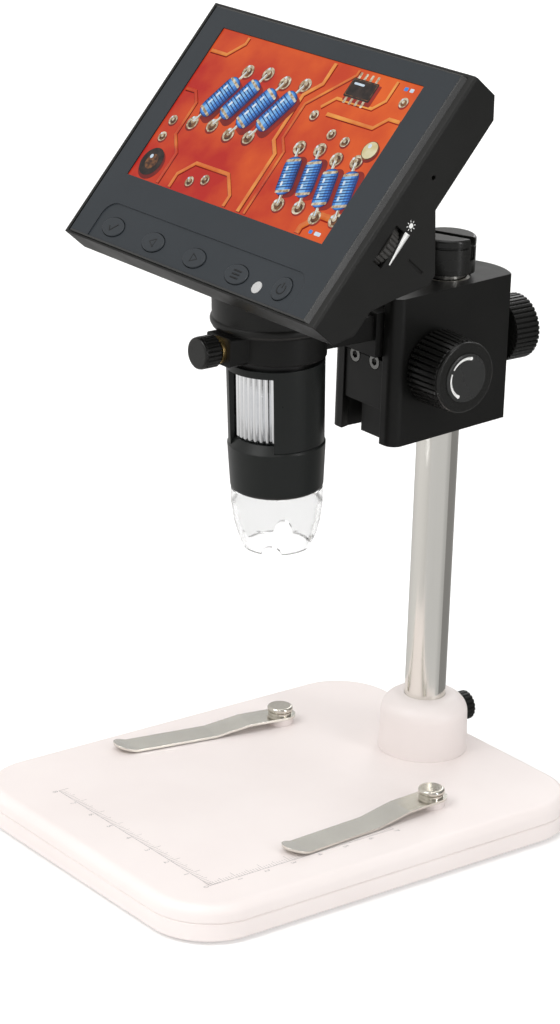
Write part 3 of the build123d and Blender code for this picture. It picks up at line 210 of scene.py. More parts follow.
def relief(tree, shader, height, depth, edge=0.0):
    """Bump of a depth in metres, over edges that are eased by a small radius."""
    bump = tree.nodes.new("ShaderNodeBump")
    bump.inputs["Strength"].default_value = 1.0
    bump.inputs["Distance"].default_value = depth
    tree.links.new(height, bump.inputs["Height"])
    if edge:
        eased = tree.nodes.new("ShaderNodeBevel")
        eased.samples = 4
        eased.inputs["Radius"].default_value = edge
        tree.links.new(eased.outputs["Normal"], bump.inputs["Normal"])
    tree.links.new(bump.outputs["Normal"], shader.inputs["Normal"])


def moulded(name, colour, drift, rough, grain=2200.0, depth=0.00001, edge=0.0003, sheen=0.5):
    """Moulded plastic: a slow drift to a second colour, handled patches that are smoother, and a grain."""
    material, tree, shader = new_finish(name, colour, rough[0])
    shader.inputs["Specular IOR Level"].default_value = sheen
    slow = noise_of(tree, 28.0, 3.0)
    tree.links.new(tint(tree, spread(tree, slow, 0.0, 1.0), colour, drift), shader.inputs["Base Color"])
    tree.links.new(spread(tree, noise_of(tree, 75.0, 4.0), *rough), shader.inputs["Roughness"])
    relief(tree, shader, noise_of(tree, grain, 2.0), depth, edge)
    return material


def dress(material, *names):
    """Gives CAD nodes a material."""
    for name in names:
        nodes[name].data.materials.clear()
        nodes[name].data.materials.append(material)


white_abs = moulded("white_abs", colour=(0.80, 0.73, 0.71), drift=(0.83, 0.765, 0.745),
                    rough=(0.34, 0.46), edge=0.0002)
dress(white_abs, "base_cover", "base_tray", "pole_collar")

# ---------------------------------------------------------------- measuring scale on the stage
# A two-sided centimetre scale, pad-printed in grey ink on the stage: a line along each side with
# millimetre ticks inside it and a number at each centimetre outside it.
MM = 0.001
pole_low, pole_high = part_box("pole")
pole_x, pole_y = (pole_low.x + pole_high.x) / 2, (pole_low.y + pole_high.y) / 2
stage_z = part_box("pole_collar")[0].z
SCALE_CORNER = (pole_x + 44.5 * MM, pole_y - 118.6 * MM)
INK_T = 0.03 * MM
LINE_W = 0.22 * MM
TICKS = {1: 1.8 * MM, 5: 2.6 * MM, 10: 3.6 * MM}
TICK_W = LINE_W * 0.7
NUMBER_H = 1.8 * MM
NUMBER_GAP = 1.5 * MM
FIGURE_SHARE = 0.7


def bar(x, y, z, width, depth, height):
    """Block of print or metal, by its centre and size."""
    bpy.ops.mesh.primitive_cube_add(size=1.0, location=(x, y, z))
    block = bpy.context.object
    block.scale = (width, depth, height)
    bpy.ops.object.transform_apply(location=True, rotation=True, scale=True)
    return block


def joined(pieces, name, material=None):
    """One object from several, at the origin, with its name and material."""
    bpy.ops.object.select_all(action="DESELECT")
    for piece in pieces:
        piece.select_set(True)
    bpy.context.view_layer.objects.active = pieces[0]
    if len(pieces) > 1:
        bpy.ops.object.join()
    bpy.ops.object.transform_apply(location=True, rotation=True, scale=True)
    whole = bpy.context.object
    whole.name = whole.data.name = name
    if material:
        whole.data.materials.clear()
        whole.data.materials.append(material)
    whole.select_set(False)
    return whole


def copies(master, places):
    """Copies of a finished piece, each with its own mesh; the first one made is used up."""
    made = []
    for place in places:
        bpy.ops.object.select_all(action="DESELECT")
        master.select_set(True)
        bpy.context.view_layer.objects.active = master
        bpy.ops.object.duplicate()
        made.append(bpy.context.object)
        made[-1].data.transform(place)
    bpy.data.objects.remove(master)
    return made


def numeral(text, place, height, thick):
    """A number as a thin raised print, by its middle; a figure fills a share of the letter height."""
    bpy.ops.object.text_add(location=place)
    label = bpy.context.object
    label.data.body = text
    label.data.size = height / FIGURE_SHARE
    label.data.extrude = thick / 2
    label.data.resolution_u = 3
    label.data.align_x = "CENTER"
    label.data.align_y = "CENTER"
    bpy.ops.object.convert(target="MESH")
    return bpy.context.object


ink_z = stage_z + INK_T / 2
prints = []
for heading_turn, side, count in ((180, -1, 80), (90, 1, 70)):
    turn = Matrix.Translation((*SCALE_CORNER, ink_z)) @ Matrix.Rotation(math.radians(heading_turn), 4, "Z")
    base_line = bar(count * MM / 2, 0, 0, count * MM + LINE_W, LINE_W, INK_T)
    prints += copies(base_line, [turn])
    for every, tick in TICKS.items():
        steps = [n for n in range(count + 1) if every == max(k for k in TICKS if n % k == 0)]
        mark = bar(0, side * tick / 2, 0, TICK_W, tick, INK_T)
        prints += copies(mark, [turn @ Matrix.Translation((n * MM, 0, 0)) for n in steps])
    for number in range(side > 0, count // 10 + 1):
        spot = turn @ Vector((number * 10 * MM, -side * NUMBER_GAP, 0))
        prints.append(numeral(str(number), spot, NUMBER_H, INK_T))
INK_GREY, INK_WORN = (0.42, 0.39, 0.39), (0.66, 0.62, 0.61)
grey_ink, ink_tree, ink_shader = new_finish("grey_ink", INK_GREY, 0.6)
wear = spread(ink_tree, noise_of(ink_tree, 900.0, 3.0), 0.0, 1.0, (0.45, 0.75))
ink_tree.links.new(tint(ink_tree, wear, INK_GREY, INK_WORN), ink_shader.inputs["Base Color"])
relief(ink_tree, ink_shader, noise_of(ink_tree, 3000.0), 0.000004)
scale_print = joined(prints, "stage_scale", grey_ink)
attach(scale_print, "stand")

# ---------------------------------------------------------------- feet, ballast and base screws
# Four rubber discs are pressed into the tray, a steel plate lies inside it for weight, and six
# zinc-plated screws pull the shells together.
foot_rubber = moulded("foot_rubber", colour=(0.022, 0.022, 0.022), drift=(0.05, 0.048, 0.046),
                      rough=(0.75, 0.95), grain=3500.0, depth=0.00002, edge=0.0003, sheen=0.3)
dress(foot_rubber, "base_feet")


def machined(name, colour, drift, rough, stretch, depth=0.000004, grain=1200.0, edge=0.00015):
    """Bare or plated metal: tool or rolling marks drawn out along one axis, and a dull film in places."""
    material, tree, shader = new_finish(name, colour, rough[0], 1.0)
    film = noise_of(tree, 60.0, 4.0)
    tree.links.new(tint(tree, spread(tree, film, 0.0, 1.0), colour, drift), shader.inputs["Base Color"])
    marks = noise_of(tree, grain, 3.0, stretch)
    tree.links.new(spread(tree, marks, *rough), shader.inputs["Roughness"])
    relief(tree, shader, marks, depth, edge)
    return material


zinc = machined("zinc_plate", colour=(0.62, 0.63, 0.66), drift=(0.48, 0.49, 0.51), rough=(0.25, 0.42),
                stretch=(1.0, 1.0, 0.1))
mild_steel = machined("mild_steel", colour=(0.36, 0.35, 0.34), drift=(0.24, 0.22, 0.21),
                      rough=(0.35, 0.6), stretch=(0.06, 1.0, 1.0))
dress(mild_steel, "base_ballast")
dress(zinc, "base_screws", "housing_screws")

# ---------------------------------------------------------------- pole
# A drawn steel tube, polished and chrome plated; the plating keeps faint lengthwise draw marks and a
# few cloudy places where hands have been.
CHROME_CLEAN, CHROME_CLOUDED = (0.88, 0.86, 0.81), (0.78, 0.76, 0.715)
chrome, chrome_tree, chrome_shader = new_finish("pole_chrome", CHROME_CLEAN, 0.1, 1.0)
clouds = spread(chrome_tree, noise_of(chrome_tree, 22.0, 4.0, (1.0, 1.0, 0.35)), 0.0, 1.0)
chrome_tree.links.new(tint(chrome_tree, clouds, CHROME_CLEAN, CHROME_CLOUDED),
                      chrome_shader.inputs["Base Color"])
draw_marks = noise_of(chrome_tree, 900.0, 2.0, (1.0, 1.0, 0.01))
chrome_tree.links.new(spread(chrome_tree, draw_marks, 0.1, 0.2), chrome_shader.inputs["Roughness"])
relief(chrome_tree, chrome_shader, draw_marks, 0.000002, 0.0002)
dress(chrome, "pole")

# ---------------------------------------------------------------- pole cap and collar thumbscrew
# Black nylon mouldings: the slotted cap is pushed over the pole's end, and the thumbscrew is moulded
# round a steel stud that bears on the pole.
black_nylon = moulded("black_nylon", colour=(0.0065, 0.0065, 0.006), drift=(0.010, 0.010, 0.0092),
                      rough=(0.18, 0.3), grain=2600.0, depth=0.000008, edge=0.0004, sheen=0.3)
dress(black_nylon, "pole_cap", "collar_knob")
dress(zinc, "collar_knob_stud", "lock_stud", "ring_stud")

# ---------------------------------------------------------------- stage clips and their studs
# Spring strips, stamped and bent in one piece and nickel plated, under domed turned studs.
nickel_strip = machined("nickel_strip", colour=(0.78, 0.76, 0.70), drift=(0.68, 0.66, 0.61),
                        rough=(0.16, 0.22), stretch=(1.0, 0.03, 1.0), depth=0.0000001, grain=2500.0)
nickel_turned = machined("nickel_turned", colour=(0.66, 0.63, 0.57), drift=(0.55, 0.52, 0.46),
                         rough=(0.1, 0.22), stretch=(1.0, 1.0, 4.0), depth=0.000002)
dress(nickel_strip, "clip_left", "clip_right")
dress(nickel_turned, "clip_studs")

# ---------------------------------------------------------------- bracket block, sleeve and lock knob
# The block is an aluminium casting, milled, bead-blasted and anodised black; it runs on the pole on a
# plain acetal sleeve, and a ribbed nylon knob at the back locks it.
black_anodised = moulded("black_anodised", colour=(0.005, 0.005, 0.0046), drift=(0.0075, 0.0075, 0.007),
                         rough=(0.34, 0.46), grain=4200.0, depth=0.000014, edge=0.0004, sheen=0.2)
dress(black_anodised, "bracket_block", "carriage_plate", "clamp_ring")
acetal = moulded("acetal", colour=(0.70, 0.69, 0.65), drift=(0.62, 0.61, 0.57), rough=(0.4, 0.5))
dress(acetal, "pole_sleeve")
dress(black_nylon, "lock_knob")

# ---------------------------------------------------------------- pinion, rack and focus knob
# The pinion and its shaft are turned and hobbed from steel, the rack is milled; the ribbed nylon knob
# is pressed on the shaft, with a gloss disc glued into its face and two printed arrows on it.
milled_steel = machined("milled_steel", colour=(0.5, 0.5, 0.51), drift=(0.36, 0.36, 0.37),
                        rough=(0.3, 0.5), stretch=(1.0, 0.08, 1.0))
dress(milled_steel, "pinion", "rack")
dress(black_nylon, "focus_knob")
gloss_disc = moulded("gloss_disc", colour=(0.016, 0.0165, 0.016), drift=(0.02, 0.0205, 0.02),
                     rough=(0.22, 0.34), grain=1500.0, depth=0.000004, edge=0.0002, sheen=0.5)
dress(gloss_disc, "focus_knob_disc")

disc_low, disc_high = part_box("focus_knob_disc")
ARROW_R = 6.2 * MM
ARROW_T = 0.03 * MM
ARROW_DOT = 0.55 * MM
ARROW_STEPS = 16
ARROW_THIN, ARROW_GROWS = 0.55 * MM, 0.5 * MM
white_print = moulded("white_print", colour=(0.88, 0.88, 0.86), drift=(0.72, 0.72, 0.71),
                      rough=(0.4, 0.55), depth=0.000003, edge=0.0)


def stroke(points, widths, thick, loop=False):
    """Flat print along a line: a path with a width at each point, made a mesh and pressed flat."""
    bpy.ops.curve.primitive_nurbs_path_add(location=(0, 0, thick / 2))
    path = bpy.context.object
    path.data.splines.clear()
    line = path.data.splines.new("POLY")
    line.points.add(len(points) - 1)
    for point, (x, y), width in zip(line.points, points, widths):
        point.co = (x, y, 0, 1)
        point.radius = width / 2
    line.use_cyclic_u = loop
    path.data.twist_mode = "Z_UP"
    path.data.bevel_depth = 1.0
    path.data.bevel_resolution = 0
    path.data.use_fill_caps = True
    bpy.ops.object.convert(target="MESH")
    path = bpy.context.object
    path.scale.z = thick / path.dimensions.z
    bpy.ops.object.transform_apply(location=True, rotation=True, scale=True)
    return path


def pick(piece, kind, test):
    """Goes into edit mode with only those vertices, edges or polygons selected that pass the test."""
    groups = {name: getattr(piece.data, name) for name in ("vertices", "edges", "polygons")}
    for name, elements in groups.items():
        for element in elements:
            element.select = name == kind and test(element)
    bpy.context.tool_settings.mesh_select_mode = [name == kind for name in groups]
    bpy.ops.object.mode_set(mode="EDIT")


def dot(x, y, radius, thick, sides=20):
    """Thin round print, its top set in a little and raised, as wet ink dries."""
    wall = thick * 0.7
    bpy.ops.mesh.primitive_cylinder_add(vertices=sides, radius=radius, depth=wall,
                                        location=(x, y, wall / 2))
    disc = bpy.context.object
    pick(disc, "polygons", lambda face: face.normal.z > 0.9)
    bpy.ops.mesh.inset(thickness=radius * 0.1)
    bpy.ops.transform.translate(value=(0, 0, thick - wall))
    bpy.ops.object.mode_set(mode="OBJECT")
    bpy.ops.object.transform_apply(location=True, rotation=True, scale=True)
    return disc


def put(piece, matrix):
    """Moves a finished mesh into place and leaves its object at the origin."""
    piece.data.transform(matrix)
    piece.data.update()


arrows = []
for start, end in ((148, 76), (160, 240)):
    shares = [step / ARROW_STEPS for step in range(ARROW_STEPS + 1)]
    angles = [math.radians(start + (end - start) * share) for share in shares]
    line = [(ARROW_R * math.cos(angle), ARROW_R * math.sin(angle)) for angle in angles]
    arrows.append(stroke(line, [ARROW_THIN + ARROW_GROWS * share for share in shares], ARROW_T))
    arrows.append(dot(*line[-1], ARROW_DOT, ARROW_T))
knob_arrows = joined(arrows, "focus_arrows", white_print)
knob_face = Matrix(((0, 0, 1, disc_high.x), (1, 0, 0, (disc_low.y + disc_high.y) / 2),
                    (0, 1, 0, (disc_low.z + disc_high.z) / 2), (0, 0, 0, 1)))
put(knob_arrows, knob_face)
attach(knob_arrows, "focus_drive")

# ---------------------------------------------------------------- carriage screws, insert, ring knob
# Two socket screws hold the plate to the rack; a brass bush in the ring's boss takes the nylon
# thumbscrew that clamps the barrel.
black_oxide = machined("black_oxide", colour=(0.22, 0.22, 0.215), drift=(0.12, 0.12, 0.115),
                       rough=(0.2, 0.34), stretch=(1.0, 4.0, 1.0))
dress(black_oxide, "carriage_screws")
brass = machined("turned_brass", colour=(0.78, 0.57, 0.24), drift=(0.6, 0.42, 0.17), rough=(0.2, 0.38),
                 stretch=(1.0, 5.0, 1.0))
dress(brass, "ring_insert", "pinion_bearing")
dress(black_nylon, "ring_knob")

# ---------------------------------------------------------------- rear housing and bezel
# Black ABS mouldings: the deep housing has a fine matte grain, the bezel in front of it is smoother
# and its long side bevels are polished.
head_black = moulded("head_black", colour=(0.0075, 0.0075, 0.007), drift=(0.011, 0.011, 0.0102),
                     rough=(0.32, 0.44), grain=3000.0, depth=0.000014, edge=0.0005, sheen=0.24)
dress(head_black, "rear_housing", "neck")
bezel_black = moulded("bezel_black", colour=(0.010, 0.0105, 0.0105), drift=(0.014, 0.0145, 0.0145),
                      rough=(0.2, 0.3), grain=1400.0, depth=0.000004, edge=0.0004, sheen=0.55)
dress(bezel_black, "bezel")

# ---------------------------------------------------------------- face panel
# A thin polycarbonate overlay, graphite with a fine satin texture, printed on its back and glued into
# the bezel; the keypad field is a shallow step in it.
GRAPHITE, GRAPHITE_PALE = (0.0145, 0.0190, 0.0235), (0.018, 0.0225, 0.0275)
graphite = moulded("graphite_film", colour=GRAPHITE, drift=GRAPHITE_PALE, rough=(0.34, 0.46),
                   grain=5200.0, depth=0.000008, edge=0.00025, sheen=0.28)
dress(graphite, "face_panel")

# ---------------------------------------------------------------- screen
# A 4.3 inch panel behind a clear window. It shows a magnified circuit board: an orange-red solder mask
# with ochre tracks, blue wire-wound coils on their legs, tinned pads and a few other parts.
FACE_TILT = math.radians(40.3)
FACE_Y = pole_y - 70.6 * MM
FACE_Z = 224.75 * MM
up = Vector((0, math.sin(FACE_TILT), math.cos(FACE_TILT)))
out = Vector((0, -math.cos(FACE_TILT), math.sin(FACE_TILT)))


def on_face(u, v, h):
    """Matrix that lays a piece on the head's face, u to the right, v up the screen, h out of it."""
    spot = Vector((pole_x, FACE_Y, FACE_Z)) + Vector((1, 0, 0)) * u + up * v + out * h
    return Matrix(((1, 0, 0, spot.x), (0, up.y, out.y, spot.y), (0, up.z, out.z, spot.z), (0, 0, 0, 1)))


LCD_U = 0.4 * MM
LCD_W = 95.04 * MM
LCD_H = 53.86 * MM
SCREEN_H = -0.4 * MM
LAYER = 0.018 * MM
PICTURE_LIGHT = 0.8
RISE_SHARE = 1.2
half_w, half_h = LCD_W / 2, LCD_H / 2
across_picture = (1.0, up.y * RISE_SHARE, up.z * RISE_SHARE)
picture_middle = on_face(LCD_U, 0, 0).translation.dot(Vector(across_picture))
picture_reach = half_w + RISE_SHARE * half_h


def lit(name, first, second, scale, drift):
    """Ink of the picture: a dark surface that gives its own light, mottled between two colours, and
    turning from the first to the second across the picture by the drift's share."""
    material, tree, shader = new_finish(name, tuple(0.03 * c for c in first), 0.35)
    shader.inputs["Specular IOR Level"].default_value = 0.25
    fall = spread(tree, along(tree, "Object", across_picture), 0.0, drift,
                  (picture_middle - picture_reach, picture_middle + picture_reach))
    mottle = spread(tree, noise_of(tree, scale, 5.0), -0.38, 1.16 - drift)
    total = tree.nodes.new("ShaderNodeMath")
    total.operation = "ADD"
    total.use_clamp = True
    tree.links.new(fall, total.inputs[0])
    tree.links.new(mottle, total.inputs[1])
    tree.links.new(tint(tree, total.outputs["Value"], first, second), shader.inputs["Emission Color"])
    shader.inputs["Emission Strength"].default_value = PICTURE_LIGHT
    relief(tree, shader, noise_of(tree, 2500.0), 0.000002)
    return material


inks = {
    "mask": lit("ink_mask", (0.54, 0.012, 0.004), (0.92, 0.15, 0.012), 60.0, 0.85),
    "shade": lit("ink_shade", (0.17, 0.004, 0.003), (0.40, 0.022, 0.008), 90.0, 0.6),
    "edge": lit("ink_edge", (0.60, 0.05, 0.012), (0.95, 0.33, 0.05), 120.0, 0.7),
    "track": lit("ink_track", (0.74, 0.16, 0.03), (0.98, 0.42, 0.08), 150.0, 0.7),
    "navy": lit("ink_navy", (0.008, 0.02, 0.10), (0.015, 0.05, 0.22), 260.0, 0.3),
    "deep": lit("ink_deep", (0.02, 0.10, 0.38), (0.035, 0.16, 0.52), 300.0, 0.3),
    "blue": lit("ink_blue", (0.045, 0.22, 0.66), (0.09, 0.34, 0.84), 300.0, 0.3),
    "sky": lit("ink_sky", (0.17, 0.45, 0.86), (0.30, 0.60, 0.95), 400.0, 0.3),
    "pale": lit("ink_pale", (0.62, 0.78, 0.93), (0.92, 0.97, 1.0), 500.0, 0.2),
    "tin": lit("ink_tin", (0.34, 0.22, 0.11), (0.90, 0.84, 0.66), 900.0, 0.2),
    "hole": lit("ink_hole", (0.05, 0.018, 0.01), (0.30, 0.12, 0.04), 700.0, 0.2),
    "cream": lit("ink_cream", (0.62, 0.50, 0.20), (0.93, 0.90, 0.66), 160.0, 0.4),
    "dark": lit("ink_dark", (0.008, 0.006, 0.006), (0.045, 0.028, 0.022), 400.0, 0.3),
}


def inked(piece, ink, layer, u=0.0, v=0.0):
    """A thin shape in its ink, laid on its layer of the picture, u to the right and v up."""
    piece.data.transform(Matrix.Translation((u * MM, v * MM, layer * LAYER)))
    piece.data.materials.clear()
    piece.data.materials.append(inks[ink])
    return piece


def pill(width, height, corner):
    """Thin block with rounded corners, in millimetres."""
    block = bar(0, 0, LAYER / 2, width * MM, height * MM, LAYER)
    tops = [point.co.z > LAYER / 2 for point in block.data.vertices]
    pick(block, "edges", lambda edge: tops[edge.vertices[0]] != tops[edge.vertices[1]])
    bpy.ops.mesh.bevel(offset=corner * MM, segments=5, affect="EDGES")
    bpy.ops.object.mode_set(mode="OBJECT")
    return block


def track(points, width, ink):
    """A track of the board, along points in millimetres, over the shadow on its far side."""
    line = [(u * MM, v * MM) for u, v in points]
    shadow = [(u - 0.2 * MM, v + 0.25 * MM) for u, v in line]
    return [inked(stroke(shadow, [width * 1.25 * MM] * len(line), LAYER), "shade", 1, 0.5, -0.5),
            inked(stroke(line, [width * MM] * len(line), LAYER), ink, 2)]


def joint_of_solder(radius):
    """A soldered hole: shadow, ragged tin ring, dark middle and two glints."""
    return joined([
        inked(dot(0, 0, 1.12 * radius * MM, LAYER), "shade", 1, 0.3, -0.35),
        inked(dot(0, 0, radius * MM, LAYER), "tin", 3),
        inked(dot(0, 0, 0.66 * radius * MM, LAYER, 14), "hole", 4, 0.12 * radius, -0.1 * radius),
        inked(dot(0, 0, 0.34 * radius * MM, LAYER, 10), "tin", 5, -0.1 * radius, 0.12 * radius),
        inked(dot(0, 0, 0.2 * radius * MM, LAYER, 8), "pale", 5, -0.62 * radius, 0.5 * radius)], "solder")


def coil_former(width, height, reach):
    """A blue lacquered part standing on two legs: its shadow, its legs in their solder, its round body
    in four shades from the dark flank to the light crest, its winding bands and its glints."""
    ends = (height / 2 + reach, -height / 2 - reach)
    piece = []
    for end in ends:
        leg = [(0, (end - math.copysign(0.4, end)) * MM), (0, math.copysign(height / 2 - 1, end) * MM)]
        piece.append(inked(stroke(leg, [1.2 * MM] * 2, LAYER), "tin", 6))
        piece.append(inked(stroke(leg, [0.4 * MM] * 2, LAYER), "pale", 7, -0.2, 0))
    solder = joint_of_solder(2.3)
    piece += copies(solder, [Matrix.Translation((0, end * MM, 0)) for end in ends])
    piece.append(inked(pill(width + 0.6, height + 0.8, 2.6), "shade", 2, 1.7, -0.6))
    for ink, share, shift, layer in (("navy", 1.0, 0, 7), ("deep", 0.86, -0.25, 8), ("blue", 0.66, -0.5, 9),
                                     ("sky", 0.36, -0.8, 10)):
        body = pill(width * share, height - 2.4 * (1 - share), 0.42 * width * share)
        piece.append(inked(body, ink, layer, shift))
    for wire in range(-4, 5):
        spot = wire * 0.072 * height
        piece.append(inked(pill(width * 0.9, 0.34, 0.1), "navy", 11, -0.1, spot))
    for spot in (0.4, -0.4):
        piece.append(inked(pill(width * 0.84, 0.9, 0.3), "tin", 11, -0.1, spot * height))
    for spot in (0.2, 0.0, -0.2):
        glint = pill(width * 0.12, height * 0.11, 0.2)
        piece.append(inked(glint, "pale", 12, -0.23 * width, spot * height))
    return joined(piece, "coil")


def lay(u, v, turn=0.0):
    """Place and turn on the picture, in millimetres and degrees."""
    return Matrix.Translation((u * MM, v * MM, 0)) @ Matrix.Rotation(math.radians(turn), 4, "Z")


edge_u, edge_v = half_w / MM - 0.7, half_h / MM - 0.7
picture = [inked(bar(0, 0, LAYER / 2, LCD_W - 0.1 * MM, LCD_H - 0.1 * MM, LAYER), "mask", 0)]
for points, width, ink in (
        (((-edge_u, 19.0), (-39.0, 19.0), (-34.0, 24.0), (-34.0, edge_v)), 1.2, "track"),
        (((-edge_u, 5.0), (-42.0, 5.0), (-38.5, 1.5), (-38.5, -10.0), (-33.0, -15.5), (-33.0, -edge_v)),
         1.2, "edge"),
        (((-27.0, -edge_v), (-27.0, -21.5), (-22.0, -16.5), (-6.0, -16.5), (0.0, -22.5), (0.0, -edge_v)),
         1.3, "track"),
        (((7.0, -edge_v), (7.0, -6.0), (3.0, -2.0), (3.0, 14.0), (8.0, 19.0), (8.0, edge_v)), 1.5, "track"),
        (((10.0, -edge_v), (10.0, -4.5), (6.0, -0.5), (6.0, 11.5), (19.0, 24.5), (19.0, edge_v)),
         1.0, "edge"),
        (((13.0, 12.0), (17.0, 16.0), (33.0, 16.0), (36.5, 19.5), (36.5, edge_v)), 1.1, "track"),
        (((edge_u, 14.5), (42.0, 14.5), (38.0, 10.5), (17.0, 10.5)), 1.2, "track"),
        (((edge_u, -19.0), (40.0, -19.0), (35.0, -24.0), (35.0, -edge_v)), 2.2, "edge")):
    picture += track(points, width, ink)
picture += copies(coil_former(7.2, 15.5, 3.6), [
    lay(-30.0, 5.5, -24), lay(-21.0, 6.6, -24), lay(-12.0, 5.5, -24), lay(-3.2, 6.6, -24)])
picture += copies(coil_former(6.6, 13.0, 3.2), [
    lay(18.0, -11.0, 18), lay(26.5, -9.8, 18), lay(35.0, -11.0, 18), lay(43.2, -9.8, 18)])
picture += copies(joint_of_solder(1.7), [lay(u, v) for u, v in (
    (-43.5, -6.0), (-43.5, -12.0), (-14.0, -20.5), (-20.0, -22.5),
    (12.5, 9.0), (24.0, 5.0), (31.0, 4.0), (43.5, 20.5))])
for u, v, radius, ink, layer in ((-40.2, -21.4, 5.2, "shade", 3), (-41.0, -20.6, 4.8, "dark", 5),
                                 (-41.0, -20.6, 2.6, "hole", 6), (-42.3, -19.0, 0.7, "pale", 7)):
    picture.append(inked(dot(0, 0, radius * MM, LAYER, 32), ink, layer, u, v))
for pin in range(8):
    side, place = (1, -1)[pin % 2], (pin // 2 - 1.5) * 2.6
    picture.append(inked(pill(1.0, 2.6, 0.2), "tin", 4, 24.5 + place, 20.5 + side * 4.0))
for u, v, width, height, ink, layer in (
        (25.5, 19.6, 12.4, 7.2, "shade", 3), (24.5, 20.5, 11.6, 6.4, "dark", 5),
        (24.4, 20.6, 10.8, 5.6, "hole", 6), (24.4, 20.6, 10.4, 5.2, "dark", 7),
        (22.5, 22.0, 4.6, 0.7, "pale", 8)):
    picture.append(inked(pill(width, height, 0.4), ink, layer, u, v))
for u, v, radius, ink, layer in ((43.2, 3.2, 3.3, "shade", 3), (42.6, 3.8, 3.1, "hole", 5),
                                 (42.5, 3.9, 2.8, "cream", 6), (41.6, 5.1, 0.7, "pale", 7)):
    picture.append(inked(dot(0, 0, radius * MM, LAYER, 28), ink, layer, u, v))
for u, v, width, ink in ((41.5, 24.6, 1.6, "blue"), (44.0, 24.6, 1.6, "pale"), (43.4, -24.6, 2.6, "pale"),
                         (40.3, -24.6, 1.4, "blue")):
    picture.append(inked(pill(width, 1.2, 0.3), ink, 13, u, v))
screen_picture = joined(picture, "screen_picture")
put(screen_picture, on_face(LCD_U, 0.0, SCREEN_H + LAYER))
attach(screen_picture, "head")

WINDOW_DARK, WINDOW_PALE = (0.018, 0.018, 0.02), (0.03, 0.028, 0.028)
window_dark, window_tree, window_shader = new_finish("window_dark", WINDOW_DARK, 0.12)
window_tree.links.new(spread(window_tree, noise_of(window_tree, 70.0, 4.0), 0.08, 0.18),
                      window_shader.inputs["Roughness"])
window_tree.links.new(tint(window_tree, noise_of(window_tree, 40.0), WINDOW_DARK, WINDOW_PALE),
                      window_shader.inputs["Base Color"])
relief(window_tree, window_shader, noise_of(window_tree, 2000.0), 0.000002)
dress(window_dark, "lcd_glass")
lcd_can = machined("lcd_can", colour=(0.55, 0.55, 0.55), drift=(0.42, 0.42, 0.43), rough=(0.3, 0.45),
                   stretch=(1.0, 0.06, 1.0))
dress(lcd_can, "lcd_module", "usb_socket", "card_socket")

# ---------------------------------------------------------------- keys, their signs, pilot light
# Five satin keys, four oval and one round, moulded in graphite plastic with a plain sunk sign on each; each
# sign is drawn as a thin dark print on the key's top, painted shade of its hollow. The pilot light beside
# them is a milky light pipe.
key_plastic = moulded("key_plastic", colour=GRAPHITE, drift=GRAPHITE_PALE, rough=(0.28, 0.4),
                      grain=4200.0, depth=0.000008, edge=0.0003, sheen=0.32)
key_names = ("enter", "left", "up", "menu", "power")
dress(key_plastic, *["button_" + name for name in key_names])
# The signs' dark colour is painted shade of the sunk hollows, laid on the key tops as a thin print.
sunk_sign_shade = moulded("sunk_sign_shade", colour=(0.004, 0.0045, 0.005), drift=(0.006, 0.007, 0.008),
                    rough=(0.45, 0.6), grain=4200.0, depth=0.000006, edge=0.0, sheen=0.3)
SIGN_T = 0.03 * MM
KEY_TOP = 0.1 * MM
POWER_R = 1.6
ARC_FROM, ARC_SWEEP, ARC_STEPS = 130, 280, 20


def sign_line(points, width, loop=False):
    """A line of a sign, through points in millimetres."""
    return stroke([(a * MM, b * MM) for a, b in points], [width * MM] * len(points), SIGN_T, loop)


turns = [math.radians(ARC_FROM + ARC_SWEEP * step / ARC_STEPS) for step in range(ARC_STEPS + 1)]
signs = {
    "enter": [sign_line(((-1.7, 0.1), (-0.5, -1.3), (1.9, 1.3)), 0.6)],
    "left": [sign_line(((-1.6, 0.0), (1.0, 1.3), (1.0, -1.3)), 0.6, loop=True)],
    "up": [sign_line(((1.6, 0.0), (-1.0, 1.3), (-1.0, -1.3)), 0.6, loop=True)],
    "menu": [sign_line(((-1.8, v), (1.8, v)), 0.55) for v in (1.15, 0.0, -1.15)],
    "power": [sign_line([(POWER_R * math.cos(a), POWER_R * math.sin(a)) for a in turns], 0.45),
              sign_line(((0.0, 0.3), (0.0, 2.1)), 0.5)],
}
for name in key_names:
    low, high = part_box("button_" + name)
    middle = (low + high) / 2
    face_point = Vector((middle.x, middle.y - FACE_Y, middle.z - FACE_Z))
    key_v = Vector((0, face_point.y, face_point.z)).dot(up)
    sign = joined(signs[name], "sign_" + name, sunk_sign_shade)
    put(sign, on_face(middle.x - pole_x, key_v, KEY_TOP - SIGN_T * 0.2))
    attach(sign, "key_" + name)

pilot = moulded("pilot_light", colour=(0.55, 0.55, 0.54), drift=(0.42, 0.42, 0.42), rough=(0.25, 0.35),
                depth=0.000004)
dress(pilot, "power_light")

# ---------------------------------------------------------------- dimmer wheel and its signs
# A thin ribbed nylon wheel shows in a slot of the right cheek; a sun and a wedge printed beside it say
# which way is brighter.
dimmer_nylon = moulded("dimmer_nylon", colour=(0.03, 0.029, 0.027), drift=(0.045, 0.043, 0.04),
                       rough=(0.3, 0.42), edge=0.0003)
dress(dimmer_nylon, "dimmer_wheel")
cheek_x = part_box("rear_housing")[1].x
CHEEK_T = 0.03 * MM
SUN_V, SUN_D = -9.9, 10.4
WEDGE_V, WEDGE_D, WEDGE_L = -12.2, 10.8, 10.2


def on_cheek(v, depth):
    """Matrix that lays a sign on the right cheek, its own x up the screen and its y to the front."""
    spot = Vector((cheek_x, FACE_Y, FACE_Z)) + up * v * MM - out * depth * MM
    return Matrix(((0, 0, 1, spot.x), (up.y, out.y, 0, spot.y), (up.z, out.z, 0, spot.z), (0, 0, 0, 1)))


